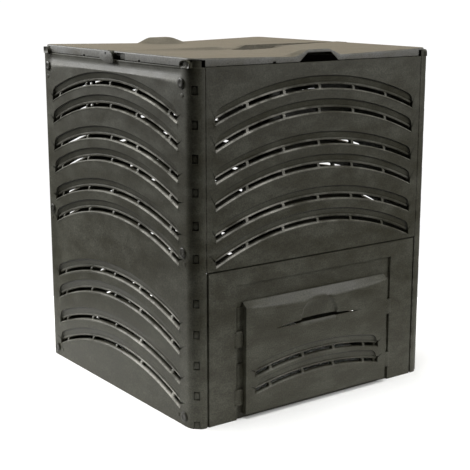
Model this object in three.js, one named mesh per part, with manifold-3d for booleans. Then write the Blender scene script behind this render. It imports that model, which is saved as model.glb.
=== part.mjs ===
// Compost bin with a two-leaf lid and a lifting hatch.
// Millimetres, +Z up, origin on the ground under the middle of the bin, hatch towards -Y.

import * as THREE from 'three';
import { mergeVertices } from 'three/addons/utils/BufferGeometryUtils.js';
import Module from 'manifold-3d';

const wasm = await Module();
wasm.setup();

// Bin
const footprint = 700; // outside length of each wall
const wallTop = 805;
const seamHeight = 358; // seam between the upper and lower panels, front and rear
const wall = 4.5;
const cornerRadius = 30;
const wrapReach = 34; // how far a side panel comes round onto the front and the rear

// Working clearances
const fit = 0.3; // between pieces that touch
const overrun = 2; // how far a cut runs past what it opens
const bite = 0.5; // how deep joined solids run into each other
const weld = 0.0001; // vertices closer than this are one
const quarter = Math.PI / 2;

// Front and rear panels
const upperEdgeGap = 1; // open seam beside an upper panel
const lowerEdgeGap = 5.5; // open seam beside a lower panel
const seamWidth = 4;
const tongueLap = 6; // how far the lower panel's tongue stands behind the upper panel
const tongueRoot = 8;
const tongueThickness = 4.2;
const tongueEndGap = 60;

// Rim inside the top edge of each wall
const ledgeReach = 12;
const ledgeThickness = 4.5;
const ledgeGap = 0.5; // over the flanges
const ledgeEndGap = 2;

// Flanges of the front and rear panels, bent round inside the corners
const flangeThickness = 4;
const flangeLap = 14;
const flangeTail = 22.5;
const flangeEndGap = 1;

// Snap windows in the corners, and the teeth in them
const windowAngle = THREE.MathUtils.degToRad(50); // from the side panel's normal
const windowFlat = THREE.MathUtils.degToRad(15); // the corner is flat this far each side of a window
const windowWidth = 14;
const windowHeight = 20;
const topWindowDrop = 47;
const windowSeamRise = 35;
const windowSeamDrop = 66;
const lowestWindowHeight = 8;
const upperWindows = 6;
const lowerWindows = 5;
const toothSlack = 0.9;
const toothRecess = 1.2;

// Lock pegs
const pegHoleRadius = 8;
const pegInset = 41;
const pegHeadRadius = 11.5;
const pegHeadHeight = 2.5;
const pegTail = 1.5;
const pegSides = 12;
const topPegDrop = 33;
const seamPegRise = 45;
const lowPegHeight = 22;

// Ears at the ends of a side panel's top edge
const earLength = 15;
const earHeight = 15;

// Vents: arched louvres with a slot along the foot
const slotHeight = 8;
const louvreRise = 26; // from the slot's middle to the louvre's top
const louvreDepth = 8;
const dividerWidth = 8;
const ventEndInset = 62;
const louvreEndGap = 3;
const ventChords = 6;
const pairStep = 53;
const upperPairs = 3;
const lowerPairs = 2;
const topVentDrop = 56;
const ventSeamRise = 82;
const ventSeamDrop = 71;
const lowestVentHeight = 106;
const frontVentRadius = 720;
const sideVentRadius = 748;
const frontDividerShares = [0, 0.354, 0.708];
const sideDividerShares = [0, 0.406, 0.885];

// Hatch
const hatchWidth = 432;
const hatchBottom = 12;
const hatchTop = 277;
const hatchProud = 10.5;
const hatchWall = 4;
const hatchLift = 40;
const hatchLiftGap = 1;
const hatchRimGap = 0.3;
const hatchFlangeReach = 15;
const hatchFlangeThickness = 2.5;
const hatchFlangeDrop = 12;
const hatchSideGap = 3;
const bevelBack = 12.5; // how far back the top bevel runs
const bevelDrop = 24; // how far down the bevel runs at the middle
const bevelSag = 13;
const scoopRadius = 56;
const scoopTop = 264;
const scoopDepth = 5;
const scoopFloor = 3;
const slitHeight = 203;
const slitRise = 12;
const slitHalf = 130;
const slitSteps = 8;
const hookHalf = 150;
const hookThickness = 4.5;
const hookReach = 10;
const hatchVentPeaks = [124, 83.5];
const hatchVentRadius = 800;
const hatchVentHalf = 182;
const hatchVentEndGap = 8;
const hatchVentChords = 4;
const hatchDividerShares = [0.26, 0.79];

// Frame round the hatch
const recessDepth = 6;
const openingMargin = 16;
const sillHeight = 18;
const openingTopMargin = 15;
const keeperHeights = [53.5, 192];
const keeperLength = 38;
const keeperProud = 2;
const keeperGap = 0.4;
const keeperSideGap = 2.5;
const keeperRoot = 6;
const notchSlack = 1;

// Lid leaves
const lidInset = 6;
const lidGap = 6; // between the two leaves
const lidWall = 3.5;
const lidCornerRadius = 26;
const lidCornerSteps = 4;
const lidRise = 12; // of the dished plate's middle over the walls
const lidEdgeRise = 8;
const skirtFrontCut = 32;
const skirtSideCut = 48;
const skirtCutRise = 15.4;
const humpBaseHalf = 75;
const humpTopHalf = 42;
const humpRise = 28;
const humpFlat = 22;
const humpRun = 82;
const handBottomHalf = 57;
const handTopHalf = 34;
const handRise = 21.5;
const lipWidth = 12;
const lipEnd = 24;
const dipX = 60; // finger dip beside the middle of the seam
const dipY = 20;
const dipLength = 80;
const dipWidth = 40;
const dipDepth = 9;
const dipColumns = 10;
const dipRows = 6;

// Lid hinges
const hingeRise = 14; // of the pins' axis over the walls
const hingeOffset = 8; // each axis lies this far from the seam
const postHalf = 14.5;
const postThickness = 12;
const postCrown = 5.5; // of the post over the pins' axis
const pinRadius = 3;
const pinSides = 12;
const pinReach = 3.5; // how far a pin goes into its post
const swingGap = 0.6;
const lobeThickness = 4;
const lobeRadius = 5;
const lobeRoot = 34;
const hookPlate = 2.7; // thickness of the lobe outside the wall
const hookStart = 40;
const hookEnd = 20;
const hookOver = 29;
const hookDrop = 13;
const hookTopEnd = 4;
const hookSteps = 5;
const openSideEnd = 66;

// Worked out
const half = footprint / 2;
const cornerCentre = half - cornerRadius;
const wrapEdge = half - wrapReach;
const upperHalf = wrapEdge - upperEdgeGap;
const lowerHalf = wrapEdge - lowerEdgeGap;
const upperFoot = seamHeight + seamWidth / 2;
const lowerHead = seamHeight - seamWidth / 2;
const flangeTop = wallTop - ledgeThickness - ledgeGap;
const ventHalf = half - ventEndInset;
const pegPlace = half - pegInset;
const hatchHalf = hatchWidth / 2;
const hatchFace = -half - hatchProud;
const hatchBack = -half + recessDepth - hatchRimGap;
const recessHalf = hatchHalf + hatchFlangeReach + hatchSideGap;
const recessTop = hatchTop + hatchLift + hatchLiftGap;
const openingHalf = hatchHalf - openingMargin;
const openingTop = hatchTop - openingTopMargin;
const lidHalf = half - lidInset;
const skirtFoot = wallTop + fit;
const lidMiddle = wallTop + lidRise;
const humpTop = wallTop + humpRise;
const handTop = wallTop + handRise;
const hingeHeight = wallTop + hingeRise;
const postTop = hingeHeight + postCrown;
const postFace = half - postThickness;

// The corner's flats, as angles from a side panel's normal round to the front's or the rear's
const flatStart = windowAngle - windowFlat;
const flatEnd = windowAngle + windowFlat;
const wrapAngles = [0, flatStart / 2, flatStart, flatEnd, (flatEnd + quarter) / 2, quarter];
const flangeAngles = wrapAngles.map((angle) => quarter - angle).reverse();

// Solids

function solid(geometry) {
  geometry.deleteAttribute('normal');
  geometry.deleteAttribute('uv');
  const merged = mergeVertices(geometry, weld);
  return new wasm.Manifold(new wasm.Mesh({
    numProp: 3,
    vertProperties: Float32Array.from(merged.attributes.position.array),
    triVerts: Uint32Array.from(merged.index.array),
  }));
}

function surface(body) {
  const mesh = body.getMesh();
  const geometry = new THREE.BufferGeometry();
  const corners = Float32Array.from(mesh.vertProperties);
  geometry.setAttribute('position', new THREE.BufferAttribute(corners, 3));
  geometry.setIndex(new THREE.BufferAttribute(Uint32Array.from(mesh.triVerts), 1));
  geometry.computeVertexNormals();
  return geometry;
}

function joined(bodies) {
  return bodies.reduce((sum, body) => sum.add(body));
}

function point(a, b) {
  return new THREE.Vector2(a, b);
}

function slab([x0, x1], [y0, y1], [z0, z1]) {
  const geometry = new THREE.BoxGeometry(x1 - x0, y1 - y0, z1 - z0);
  return solid(geometry.translate((x0 + x1) / 2, (y0 + y1) / 2, (z0 + z1) / 2));
}

function extrusion(points, depth) {
  const outline = new THREE.Shape(points);
  return new THREE.ExtrudeGeometry(outline, { depth, bevelEnabled: false });
}

// Outline in x and y, raised from z0 to z1
function upright(points, z0, z1) {
  return solid(extrusion(points, z1 - z0).translate(0, 0, z0));
}

// Outline in x and z, run from y0 back to y1
function throughY(points, y0, y1) {
  return solid(extrusion(points, y1 - y0).rotateX(quarter).translate(0, y1, 0));
}

// Outline in y and z, run from x0 to x1
function throughX(points, x0, x1) {
  const turned = extrusion(points, x1 - x0).rotateX(quarter).rotateZ(quarter);
  return solid(turned.translate(x0, 0, 0));
}

// Section in y and z, carried from stop to stop along x and raised at each by its lift
function sweep(points, stops, lift) {
  const count = stops.length - 1;
  const outline = new THREE.Shape(points);
  const options = { depth: count, steps: count, bevelEnabled: false };
  const geometry = new THREE.ExtrudeGeometry(outline, options);
  const place = geometry.attributes.position;
  for (let i = 0; i < place.count; i += 1) {
    const x = stops[Math.round(place.getZ(i))];
    const y = place.getX(i);
    const z = place.getY(i);
    place.setXYZ(i, x, y, z + lift(x, z));
  }
  return solid(geometry);
}

function rodX(radius, sides, x0, x1, y, z) {
  const geometry = new THREE.CylinderGeometry(radius, radius, x1 - x0, sides);
  return solid(geometry.rotateZ(quarter).translate((x0 + x1) / 2, y, z));
}

// Spacing along a column: count places from the first to the last
function column(first, last, count) {
  const pitch = (first - last) / Math.max(count - 1, 1);
  return Array.from({ length: count }, (_, i) => first - i * pitch);
}

// Each wall is drawn as the front wall, outer face at y = -half, and turned into place.

// A point of the rounded corner: an inset from the outside and an angle from the wall's normal
function cornerPoint(side, inset, angle) {
  const reach = cornerRadius - inset;
  const along = cornerCentre + reach * Math.sin(angle);
  return point(side * along, -(cornerCentre + reach * Math.cos(angle)));
}

function cornerArc(side, inset, angles) {
  return angles.map((angle) => cornerPoint(side, inset, angle));
}

function backwards(angles) {
  return [...angles].reverse();
}

// A block on a corner, square to the rounded surface
function cornerBlock(side, angle, [r0, r1], width, [z0, z1]) {
  const geometry = new THREE.BoxGeometry(width, r1 - r0, z1 - z0);
  geometry.translate(0, -(r0 + r1) / 2, (z0 + z1) / 2);
  geometry.rotateZ(side * angle);
  return solid(geometry.translate(side * cornerCentre, -cornerCentre, 0));
}

function windowHeights() {
  const top = wallTop - topWindowDrop;
  return {
    upper: column(top, seamHeight + windowSeamRise, upperWindows),
    lower: column(seamHeight - windowSeamDrop, lowestWindowHeight, lowerWindows),
  };
}

function pegHeights() {
  return {
    upper: [wallTop - topPegDrop, seamHeight + seamPegRise],
    lower: [lowPegHeight],
  };
}

// Vents

// An arch of straight chords: its height over the peak, which falls to both sides
function arch(radius, step) {
  const height = (x) => Math.sqrt(radius * radius - x * x) - radius;
  const lift = (x) => {
    const start = Math.floor(x / step) * step;
    const share = (x - start) / step;
    return height(start) * (1 - share) + height(start + step) * share;
  };
  return { lift, step };
}

function archStops(x0, x1, step) {
  const stops = [x0];
  for (let node = Math.ceil(x0 / step) * step; node < x1 - weld; node += step) {
    if (node > x0 + weld) {
      stops.push(node);
    }
  }
  return [...stops, x1];
}

function archedBar(points, x0, x1, curve, base) {
  const raised = points.map(([y, z]) => point(y, base + z));
  return sweep(raised, archStops(x0, x1, curve.step), curve.lift);
}

// Stretches of a slot between its dividers
function slotSpans(reach, dividers) {
  const margin = dividerWidth / 2;
  const edges = dividers.flatMap((x) => [x - margin, x + margin]).sort((a, b) => a - b);
  const ends = [-reach, ...edges, reach];
  return Array.from({ length: ends.length / 2 }, (_, i) => ends.slice(i * 2, i * 2 + 2));
}

// One louvre: its bulge behind the face, and its cut with the slot along the foot
function louvre({ face, thickness, peak, curve, reach, endGap, dividers }) {
  const slot = slotHeight / 2;
  const inner = face + thickness;
  const deep = face + louvreDepth;
  const bulge = [
    [inner - bite, louvreRise], [inner, louvreRise], [deep + thickness, slot],
    [deep + thickness, -slot - thickness], [inner - bite, -slot - thickness],
  ];
  const recess = [
    [face - overrun, louvreRise], [face, louvreRise], [deep, slot],
    [deep, -slot], [face - overrun, -slot],
  ];
  const through = [
    [deep - bite, slot], [deep + thickness + overrun, slot],
    [deep + thickness + overrun, -slot], [deep - bite, -slot],
  ];
  const bar = (points, x0, x1) => archedBar(points, x0, x1, curve, peak);
  const end = reach + endGap;
  const slots = slotSpans(reach, dividers).map(([x0, x1]) => bar(through, x0, x1));
  return {
    bulge: bar(bulge, -end - thickness, end + thickness),
    cut: joined([bar(recess, -end, end), ...slots]),
  };
}

function mirroredPlaces(shares, reach) {
  const places = shares.flatMap((share) => (share === 0 ? [0] : [-share, share]));
  return places.map((share) => share * reach);
}

function cutLouvres(plate, louvres) {
  const bulged = louvres.reduce((body, vent) => body.add(vent.bulge), plate);
  return louvres.reduce((body, vent) => body.subtract(vent.cut), bulged);
}

function wallLouvres(firstPeak, lastPeak, pairs, radius, shares) {
  const common = {
    face: -half,
    thickness: wall,
    reach: ventHalf,
    endGap: louvreEndGap,
    dividers: mirroredPlaces(shares, ventHalf),
  };
  const step = (ventHalf * 2) / ventChords;
  const outer = arch(radius, step);
  const inner = arch(radius - pairStep, step);
  const peaks = column(firstPeak, lastPeak + pairStep, pairs);
  return peaks.flatMap((peak) => [
    louvre({ ...common, peak, curve: outer }),
    louvre({ ...common, peak: peak - pairStep, curve: inner }),
  ]);
}

function upperLouvres(radius, shares) {
  const first = wallTop - topVentDrop;
  return wallLouvres(first, seamHeight + ventSeamRise, upperPairs, radius, shares);
}

function lowerLouvres(radius, shares) {
  const first = seamHeight - ventSeamDrop;
  return wallLouvres(first, lowestVentHeight, lowerPairs, radius, shares);
}

// Side panels: one moulding with both corners, the ears and the hinge post

function wrapOutline() {
  const inward = backwards(wrapAngles);
  return [
    point(-half, -wrapEdge), ...cornerArc(-1, 0, inward), ...cornerArc(1, 0, wrapAngles),
    point(half, -wrapEdge), point(half - wall, -wrapEdge),
    ...cornerArc(1, wall, inward), ...cornerArc(-1, wall, wrapAngles), point(wall - half, -wrapEdge),
  ];
}

function ear(side) {
  const start = side * (cornerCentre - earLength);
  const reach = wrapAngles.filter((angle) => angle <= flatEnd);
  const outline = [
    point(start, -half), ...cornerArc(side, 0, reach),
    ...cornerArc(side, wall, backwards(reach)), point(start, wall - half),
  ];
  return upright(outline, wallTop - bite, wallTop + earHeight);
}

function topLedge(reach) {
  const depth = [wall - half - bite, ledgeReach - half];
  return slab([-reach, reach], depth, [wallTop - ledgeThickness, wallTop]);
}

// The post is seen from the side panel: the two pin holes lie side by side
function hingePost() {
  const block = slab([-postHalf, postHalf], [-half, -postFace], [wallTop - bite, postTop]);
  const holes = [-1, 1].map((side) => {
    const radius = pinRadius + fit;
    const drill = new THREE.CylinderGeometry(radius, radius, postThickness + overrun * 2, pinSides);
    const middle = (-half - postFace) / 2;
    return solid(drill.translate(side * hingeOffset, middle, hingeHeight));
  });
  return block.subtract(joined(holes));
}

function cornerWindows() {
  const { upper, lower } = windowHeights();
  const depth = [cornerRadius - wall - overrun, cornerRadius + overrun];
  return [-1, 1].flatMap((side) => [...upper, ...lower].map((height) => {
    const span = [height - windowHeight / 2, height + windowHeight / 2];
    return cornerBlock(side, windowAngle, depth, windowWidth, span);
  }));
}

function pegHoles() {
  const { upper, lower } = pegHeights();
  return [-1, 1].flatMap((side) => [...upper, ...lower].map((height) => {
    const length = (wall + overrun) * 2;
    const drill = new THREE.CylinderGeometry(pegHoleRadius, pegHoleRadius, length, pegSides);
    return solid(drill.translate(side * pegPlace, -half, height));
  }));
}

function sidePanel() {
  const shell = upright(wrapOutline(), 0, wallTop);
  const ledge = topLedge(cornerCentre - ledgeEndGap);
  const frame = joined([shell, ledge, ear(-1), ear(1), hingePost()]);
  const louvres = [
    ...upperLouvres(sideVentRadius, sideDividerShares),
    ...lowerLouvres(sideVentRadius, sideDividerShares),
  ];
  return cutLouvres(frame, louvres).subtract(joined([...cornerWindows(), ...pegHoles()]));
}

// Front and rear panels

// A flange bent round inside the corner, with its teeth and its peg holes
function flange(side, plateHalf, [z0, z1], toothHeights, heights) {
  const start = side * (plateHalf - flangeLap);
  const step = side * (plateHalf - overrun);
  const outer = wall + fit;
  const inner = outer + flangeThickness;
  const tail = flangeTail - cornerCentre;
  const outline = [
    point(start, wall - half - bite), point(step, wall - half - bite), point(step, outer - half),
    ...cornerArc(side, outer, flangeAngles), point(side * (half - outer), tail),
    point(side * (half - inner), tail), ...cornerArc(side, inner, backwards(flangeAngles)),
    point(start, inner - half),
  ];
  const depth = [cornerRadius - inner + bite, cornerRadius - toothRecess];
  const teeth = toothHeights.map((height) => {
    const reach = windowHeight / 2 - toothSlack;
    const span = [Math.max(height - reach, z0), Math.min(height + reach, z1)];
    return cornerBlock(side, quarter - windowAngle, depth, windowWidth - fit * 2, span);
  });
  const ends = [half - inner - overrun, half].map((x) => side * x).sort((a, b) => a - b);
  const holes = heights.map((height) => rodX(pegHoleRadius, pegSides, ...ends, -pegPlace, height));
  return joined([upright(outline, z0, z1), ...teeth]).subtract(joined(holes));
}

function upperPanel() {
  const plate = slab([-upperHalf, upperHalf], [-half, wall - half], [upperFoot, wallTop]);
  const span = [upperFoot + flangeEndGap, flangeTop];
  const teeth = windowHeights().upper;
  const flanges = [-1, 1].map((side) => flange(side, upperHalf, span, teeth, pegHeights().upper));
  const frame = joined([plate, topLedge(upperHalf - flangeEndGap), ...flanges]);
  return cutLouvres(frame, upperLouvres(frontVentRadius, frontDividerShares));
}

// A tongue that stands behind the foot of the upper panel
function tongue() {
  const front = wall - half;
  const step = lowerHead - flangeEndGap;
  const outline = [
    point(front - bite, step - tongueRoot), point(front - bite, step), point(front + fit, step),
    point(front + fit, upperFoot + tongueLap), point(front + fit + tongueThickness, upperFoot + tongueLap),
    point(front + fit + tongueThickness, step - tongueRoot),
  ];
  const reach = lowerHalf - tongueEndGap;
  return throughX(outline, -reach, reach);
}

function lowerFrame() {
  const plate = slab([-lowerHalf, lowerHalf], [-half, wall - half], [0, lowerHead]);
  const span = [0, lowerHead - flangeEndGap];
  const teeth = windowHeights().lower;
  const flanges = [-1, 1].map((side) => flange(side, lowerHalf, span, teeth, pegHeights().lower));
  return joined([plate, tongue(), ...flanges]);
}

function rearLowerPanel() {
  return cutLouvres(lowerFrame(), lowerLouvres(frontVentRadius, frontDividerShares));
}

function hatchRecess(frame) {
  const floor = recessDepth - half;
  const width = [-recessHalf - wall, recessHalf + wall];
  const backing = slab(width, [wall - half - bite, floor + wall], [0, recessTop + wall]);
  const hollow = slab([-recessHalf, recessHalf], [-half - overrun, floor], [-overrun, recessTop]);
  const depth = [floor - overrun, floor + wall + overrun];
  const opening = slab([-openingHalf, openingHalf], depth, [sillHeight, openingTop]);
  return frame.add(backing).subtract(hollow).subtract(opening);
}

function keepers() {
  const inside = hatchHalf + keeperSideGap;
  const outside = recessHalf + keeperRoot;
  const depth = [-half - keeperProud, hatchBack - hatchFlangeThickness - keeperGap];
  return keeperHeights.flatMap((height) => {
    const span = [height - keeperLength / 2, height + keeperLength / 2];
    return [slab([-outside, -inside], depth, span), slab([inside, outside], depth, span)];
  });
}

function frontLowerPanel() {
  return joined([hatchRecess(lowerFrame()), ...keepers()]);
}

// Hatch

// The tray's outer form, or with an inset its hollow
function hatchForm(inset) {
  const reach = hatchHalf - inset;
  const face = hatchFace + inset;
  const back = inset > 0 ? hatchBack + overrun : hatchBack;
  const block = slab([-reach, reach], [face, back], [hatchBottom + inset, hatchTop - inset]);
  const foot = hatchTop - bevelDrop - inset;
  const front = face - overrun;
  const slope = (bevelDrop * overrun) / bevelBack;
  const wedge = [
    point(front, foot - slope), point(front, hatchTop + overrun),
    point(face + bevelBack, hatchTop + overrun), point(face + bevelBack, hatchTop - inset),
  ];
  const step = hatchHalf / (hatchVentChords / 2);
  const sag = (x, z) => (z < hatchTop - inset ? bevelSag * (x / hatchHalf) ** 2 : 0);
  const cut = sweep(wedge, archStops(-hatchHalf - overrun, hatchHalf + overrun, step), sag);
  return block.subtract(cut);
}

function sideFlanges() {
  const depth = [hatchBack - hatchFlangeThickness, hatchBack];
  const [lower, upper] = keeperHeights;
  const foot = lower + keeperLength / 2 - hatchLift + notchSlack;
  const notch = [upper - keeperLength / 2, upper + keeperLength / 2].map((z) => z - hatchLift);
  const spans = [
    [foot, notch[0] - notchSlack],
    [notch[1] + notchSlack, hatchTop - hatchFlangeDrop],
  ];
  const inside = hatchHalf - bite;
  const outside = hatchHalf + hatchFlangeReach;
  return spans.flatMap((span) => [
    slab([-outside, -inside], depth, span),
    slab([inside, outside], depth, span),
  ]);
}

// A half-round scoop for the thumb, open at its foot into the slit
function thumbScoop(inset, depth) {
  const radius = scoopRadius + inset;
  const centre = scoopTop - scoopRadius;
  const outline = Array.from({ length: slitSteps + 1 }, (_, i) => {
    const angle = (Math.PI * i) / slitSteps;
    return point(radius * Math.cos(angle), centre + radius * Math.sin(angle));
  });
  return throughY(outline, ...depth);
}

function fingerSlit() {
  const top = Array.from({ length: slitSteps + 1 }, (_, i) => {
    const share = (2 * i) / slitSteps - 1;
    return point(slitHalf * share, slitHeight + slitRise * (1 - share * share));
  });
  return throughY(top, hatchFace - overrun, hatchFace + hatchWall + overrun);
}

function hatchLouvres() {
  const step = (hatchVentHalf * 2) / hatchVentChords;
  return hatchVentPeaks.map((peak) => louvre({
    face: hatchFace,
    thickness: hatchWall,
    peak,
    curve: arch(hatchVentRadius, step),
    reach: hatchVentHalf,
    endGap: hatchVentEndGap,
    dividers: mirroredPlaces(hatchDividerShares, hatchVentHalf),
  }));
}

// A rib on the hatch's back that stands on the sill
function sillHook() {
  const depth = [hatchFace + hatchWall - bite, hatchBack + hookReach];
  const foot = sillHeight + fit;
  return slab([-hookHalf, hookHalf], depth, [foot, foot + hookThickness]);
}

function hatchDoor() {
  const tray = hatchForm(0).subtract(hatchForm(hatchWall));
  const frame = joined([tray, sillHook(), ...sideFlanges()]);
  const floor = hatchFace + scoopDepth;
  const backing = thumbScoop(hatchWall, [hatchFace + hatchWall - bite, floor + scoopFloor]);
  const hollow = thumbScoop(0, [hatchFace - overrun, floor]);
  const scooped = frame.add(backing.intersect(hatchForm(0))).subtract(hollow);
  return cutLouvres(scooped.subtract(fingerSlit()), hatchLouvres());
}

// Lid

// A leaf's plan from its rounded front corners back to a given rear edge
function leafOutline(inset, rear) {
  const reach = lidHalf - inset;
  const radius = lidCornerRadius - inset;
  const centre = lidHalf - lidCornerRadius;
  const arc = Array.from({ length: lidCornerSteps + 1 }, (_, i) => {
    const angle = (quarter * i) / lidCornerSteps;
    return [centre + radius * Math.cos(angle), -centre - radius * Math.sin(angle)];
  });
  const right = arc.map(([x, y]) => point(x, y));
  const left = arc.map(([x, y]) => point(-x, y)).reverse();
  return [point(reach, rear), ...right, ...left, point(-reach, rear)];
}

function plateHeight(x) {
  return lidMiddle + (lidEdgeRise * Math.abs(x)) / lidHalf;
}

// Everything under the dished plate's surface, lowered by an inset
function underPlate(inset, foot) {
  const edge = plateHeight(lidHalf) - inset;
  const outline = [
    point(-lidHalf, foot), point(lidHalf, foot), point(lidHalf, edge),
    point(0, lidMiddle - inset), point(-lidHalf, edge),
  ];
  return throughY(outline, -lidHalf - overrun, overrun);
}

// Outer form of the handle hump, or with an inset its hollow
function humpForm(inset) {
  const foot = lidMiddle - lidWall - bite;
  const top = humpTop - inset;
  const across = [
    point(-humpBaseHalf + inset, foot), point(humpBaseHalf - inset, foot),
    point(humpTopHalf - inset, top), point(-humpTopHalf + inset, top),
  ];
  const front = -lidHalf + inset;
  const along = [
    point(front, foot), point(front, top), point(humpFlat - lidHalf, top),
    point(humpRun - lidHalf - inset, plateHeight(0) - inset), point(humpRun - lidHalf - inset, foot),
  ];
  const width = humpBaseHalf + overrun;
  return throughY(across, -lidHalf, 0).intersect(throughX(along, -width, width));
}

function handOpening() {
  const foot = skirtFoot - overrun;
  const outline = [
    point(-handBottomHalf, foot), point(handBottomHalf, foot),
    point(handTopHalf, handTop), point(-handTopHalf, handTop),
  ];
  return throughY(outline, -lidHalf - overrun, -lidHalf + lidWall + overrun);
}

function dipForm(inset) {
  const ball = new THREE.SphereGeometry(1, dipColumns, dipRows);
  ball.rotateX(quarter).scale(dipLength + inset, dipWidth + inset, dipDepth + inset);
  return solid(ball.translate(dipX, -dipY, lidMiddle));
}

// Room for the post and its corner as the leaf swings
function postNotch(side) {
  const swing = Math.hypot(postHalf - hingeOffset, postTop - hingeHeight) + swingGap;
  const xs = [postFace - fit, half].map((x) => side * x).sort((a, b) => a - b);
  return slab(xs, [-hingeOffset - swing, overrun], [skirtFoot - overrun, postTop + lidEdgeRise]);
}

function innerLobe() {
  const inside = postFace - fit;
  const y = -hingeOffset;
  const tab = slab([-inside, lobeThickness - inside], [-lobeRoot, y],
    [hingeHeight - lobeRadius, plateHeight(inside - lobeThickness) - lidWall + bite]);
  const eye = rodX(lobeRadius, pinSides, -inside, lobeThickness - inside, y, hingeHeight);
  const pin = rodX(pinRadius, pinSides, -postFace - pinReach, lobeThickness - inside, y, hingeHeight);
  return joined([tab, eye, pin]);
}

// The lobe outside the wall, carried over its top edge by a block
function outerLobe() {
  const top = plateHeight(lidHalf);
  const foot = wallTop - hookDrop;
  const curve = Array.from({ length: hookSteps + 1 }, (_, i) => {
    const angle = (quarter * i) / hookSteps;
    const y = hookTopEnd + (hookOver - hookTopEnd) * Math.cos(angle);
    return point(y, foot + (top - foot) * Math.sin(angle));
  });
  const outline = [
    point(-hookStart, top), point(-hookStart, skirtFoot), point(-hookEnd, foot), ...curve,
  ];
  const inside = half + fit;
  const outside = inside + hookPlate;
  const lobe = throughX(outline, inside, outside);
  const block = slab([lidHalf - lidWall, outside], [-hookStart, -hookEnd], [skirtFoot, top]);
  const pin = rodX(pinRadius, pinSides, half - pinReach, outside, -hingeOffset, hingeHeight);
  return joined([lobe, block, pin]);
}

function seamLip() {
  const rear = -lidGap / 2;
  const top = plateHeight(lidHalf);
  return slab([fit - postFace, -lipEnd], [rear - lipWidth, rear], [lidMiddle - lidWall, top])
    .subtract(underPlate(lidWall, skirtFoot));
}

function skirtCuts() {
  const outside = lidHalf + overrun;
  const corner = [1, -1].map((side) => {
    const xs = [lidHalf - skirtFrontCut, outside].map((x) => side * x).sort((a, b) => a - b);
    return slab(xs, [-outside, skirtSideCut - lidHalf], [skirtFoot - overrun, wallTop + skirtCutRise]);
  });
  const open = slab([-outside, lidWall - lidHalf + overrun], [-openSideEnd, 0],
    [skirtFoot - overrun, plateHeight(lidHalf) - lidWall]);
  return joined([...corner, open]);
}

function lidLeaf() {
  const rear = -lidGap / 2;
  const top = humpTop + overrun;
  const outer = upright(leafOutline(0, rear), skirtFoot, top).intersect(underPlate(0, skirtFoot));
  const hollow = upright(leafOutline(lidWall, overrun), skirtFoot - overrun, top)
    .intersect(underPlate(lidWall, skirtFoot - overrun));
  const shell = outer.add(humpForm(0)).subtract(joined([hollow, humpForm(lidWall)]));
  const room = upright(leafOutline(0, rear), skirtFoot, top);
  const dipped = shell.add(dipForm(lidWall).intersect(underPlate(0, skirtFoot)).intersect(room))
    .subtract(dipForm(0));
  const plain = dipped.add(seamLip()).subtract(joined([skirtCuts(), handOpening()]));
  const notched = plain.subtract(joined([postNotch(-1), postNotch(1)]));
  return joined([notched, innerLobe(), outerLobe()]);
}

// Pegs

// A peg as seen on the front wall, with its head outside
function lockPeg() {
  const radius = pegHoleRadius - fit;
  const length = wall + fit + flangeThickness + pegTail;
  const shank = new THREE.CylinderGeometry(radius, radius, length + fit + bite, pegSides);
  const head = new THREE.CylinderGeometry(pegHeadRadius, pegHeadRadius, pegHeadHeight - fit, pegSides);
  shank.translate(0, (length - fit - bite) / 2 - half, 0);
  head.translate(0, -half - (pegHeadHeight + fit) / 2, 0);
  return solid(shank).add(solid(head));
}

// Assembly

const wallColour = '#50504a';
const lidColour = '#6a6558';
const pegColour = '#4c4c46';

function piece(name, geometry, colour, turn = 0) {
  const material = new THREE.MeshStandardMaterial({ color: colour, roughness: 0.5, metalness: 0 });
  const mesh = new THREE.Mesh(geometry, material);
  mesh.name = name;
  mesh.rotation.z = turn;
  return mesh;
}

function walls() {
  const side = surface(sidePanel());
  const upper = surface(upperPanel());
  return [
    piece('left_side_panel', side, wallColour, -quarter),
    piece('right_side_panel', side.clone(), wallColour, quarter),
    piece('front_upper_panel', upper, wallColour),
    piece('rear_upper_panel', upper.clone(), wallColour, Math.PI),
    piece('front_lower_panel', surface(frontLowerPanel()), wallColour),
    piece('rear_lower_panel', surface(rearLowerPanel()), wallColour, Math.PI),
    piece('hatch_door', surface(hatchDoor()), wallColour),
  ];
}

function lid() {
  const leaf = surface(lidLeaf());
  return [
    piece('front_lid_leaf', leaf, lidColour),
    piece('rear_lid_leaf', leaf.clone(), lidColour, Math.PI),
  ];
}

function pegs() {
  const peg = surface(lockPeg());
  const heights = {
    top: wallTop - topPegDrop, middle: seamHeight + seamPegRise, bottom: lowPegHeight,
  };
  const corners = [
    ['front_left', -quarter, 1], ['rear_left', -quarter, -1],
    ['front_right', quarter, -1], ['rear_right', quarter, 1],
  ];
  return corners.flatMap(([corner, turn, side]) => Object.entries(heights).map(([level, z]) => {
    const geometry = peg.clone().translate(side * pegPlace, 0, z);
    return piece(`lock_peg_${corner}_${level}`, geometry, pegColour, turn);
  }));
}

const bin = new THREE.Group();
bin.add(...walls(), ...lid(), ...pegs());
bin.position.y = hatchProud / 2;

export default bin;
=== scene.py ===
"""Looks for the compost bin with its two-leaf lid: moulded walls, hatch, lid, pegs, stage and light."""
import bisect
import math
from collections import namedtuple

import bmesh
import bpy
from bpy.props import FloatProperty, FloatVectorProperty, IntProperty, PointerProperty
from mathutils import Matrix, Vector


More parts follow.
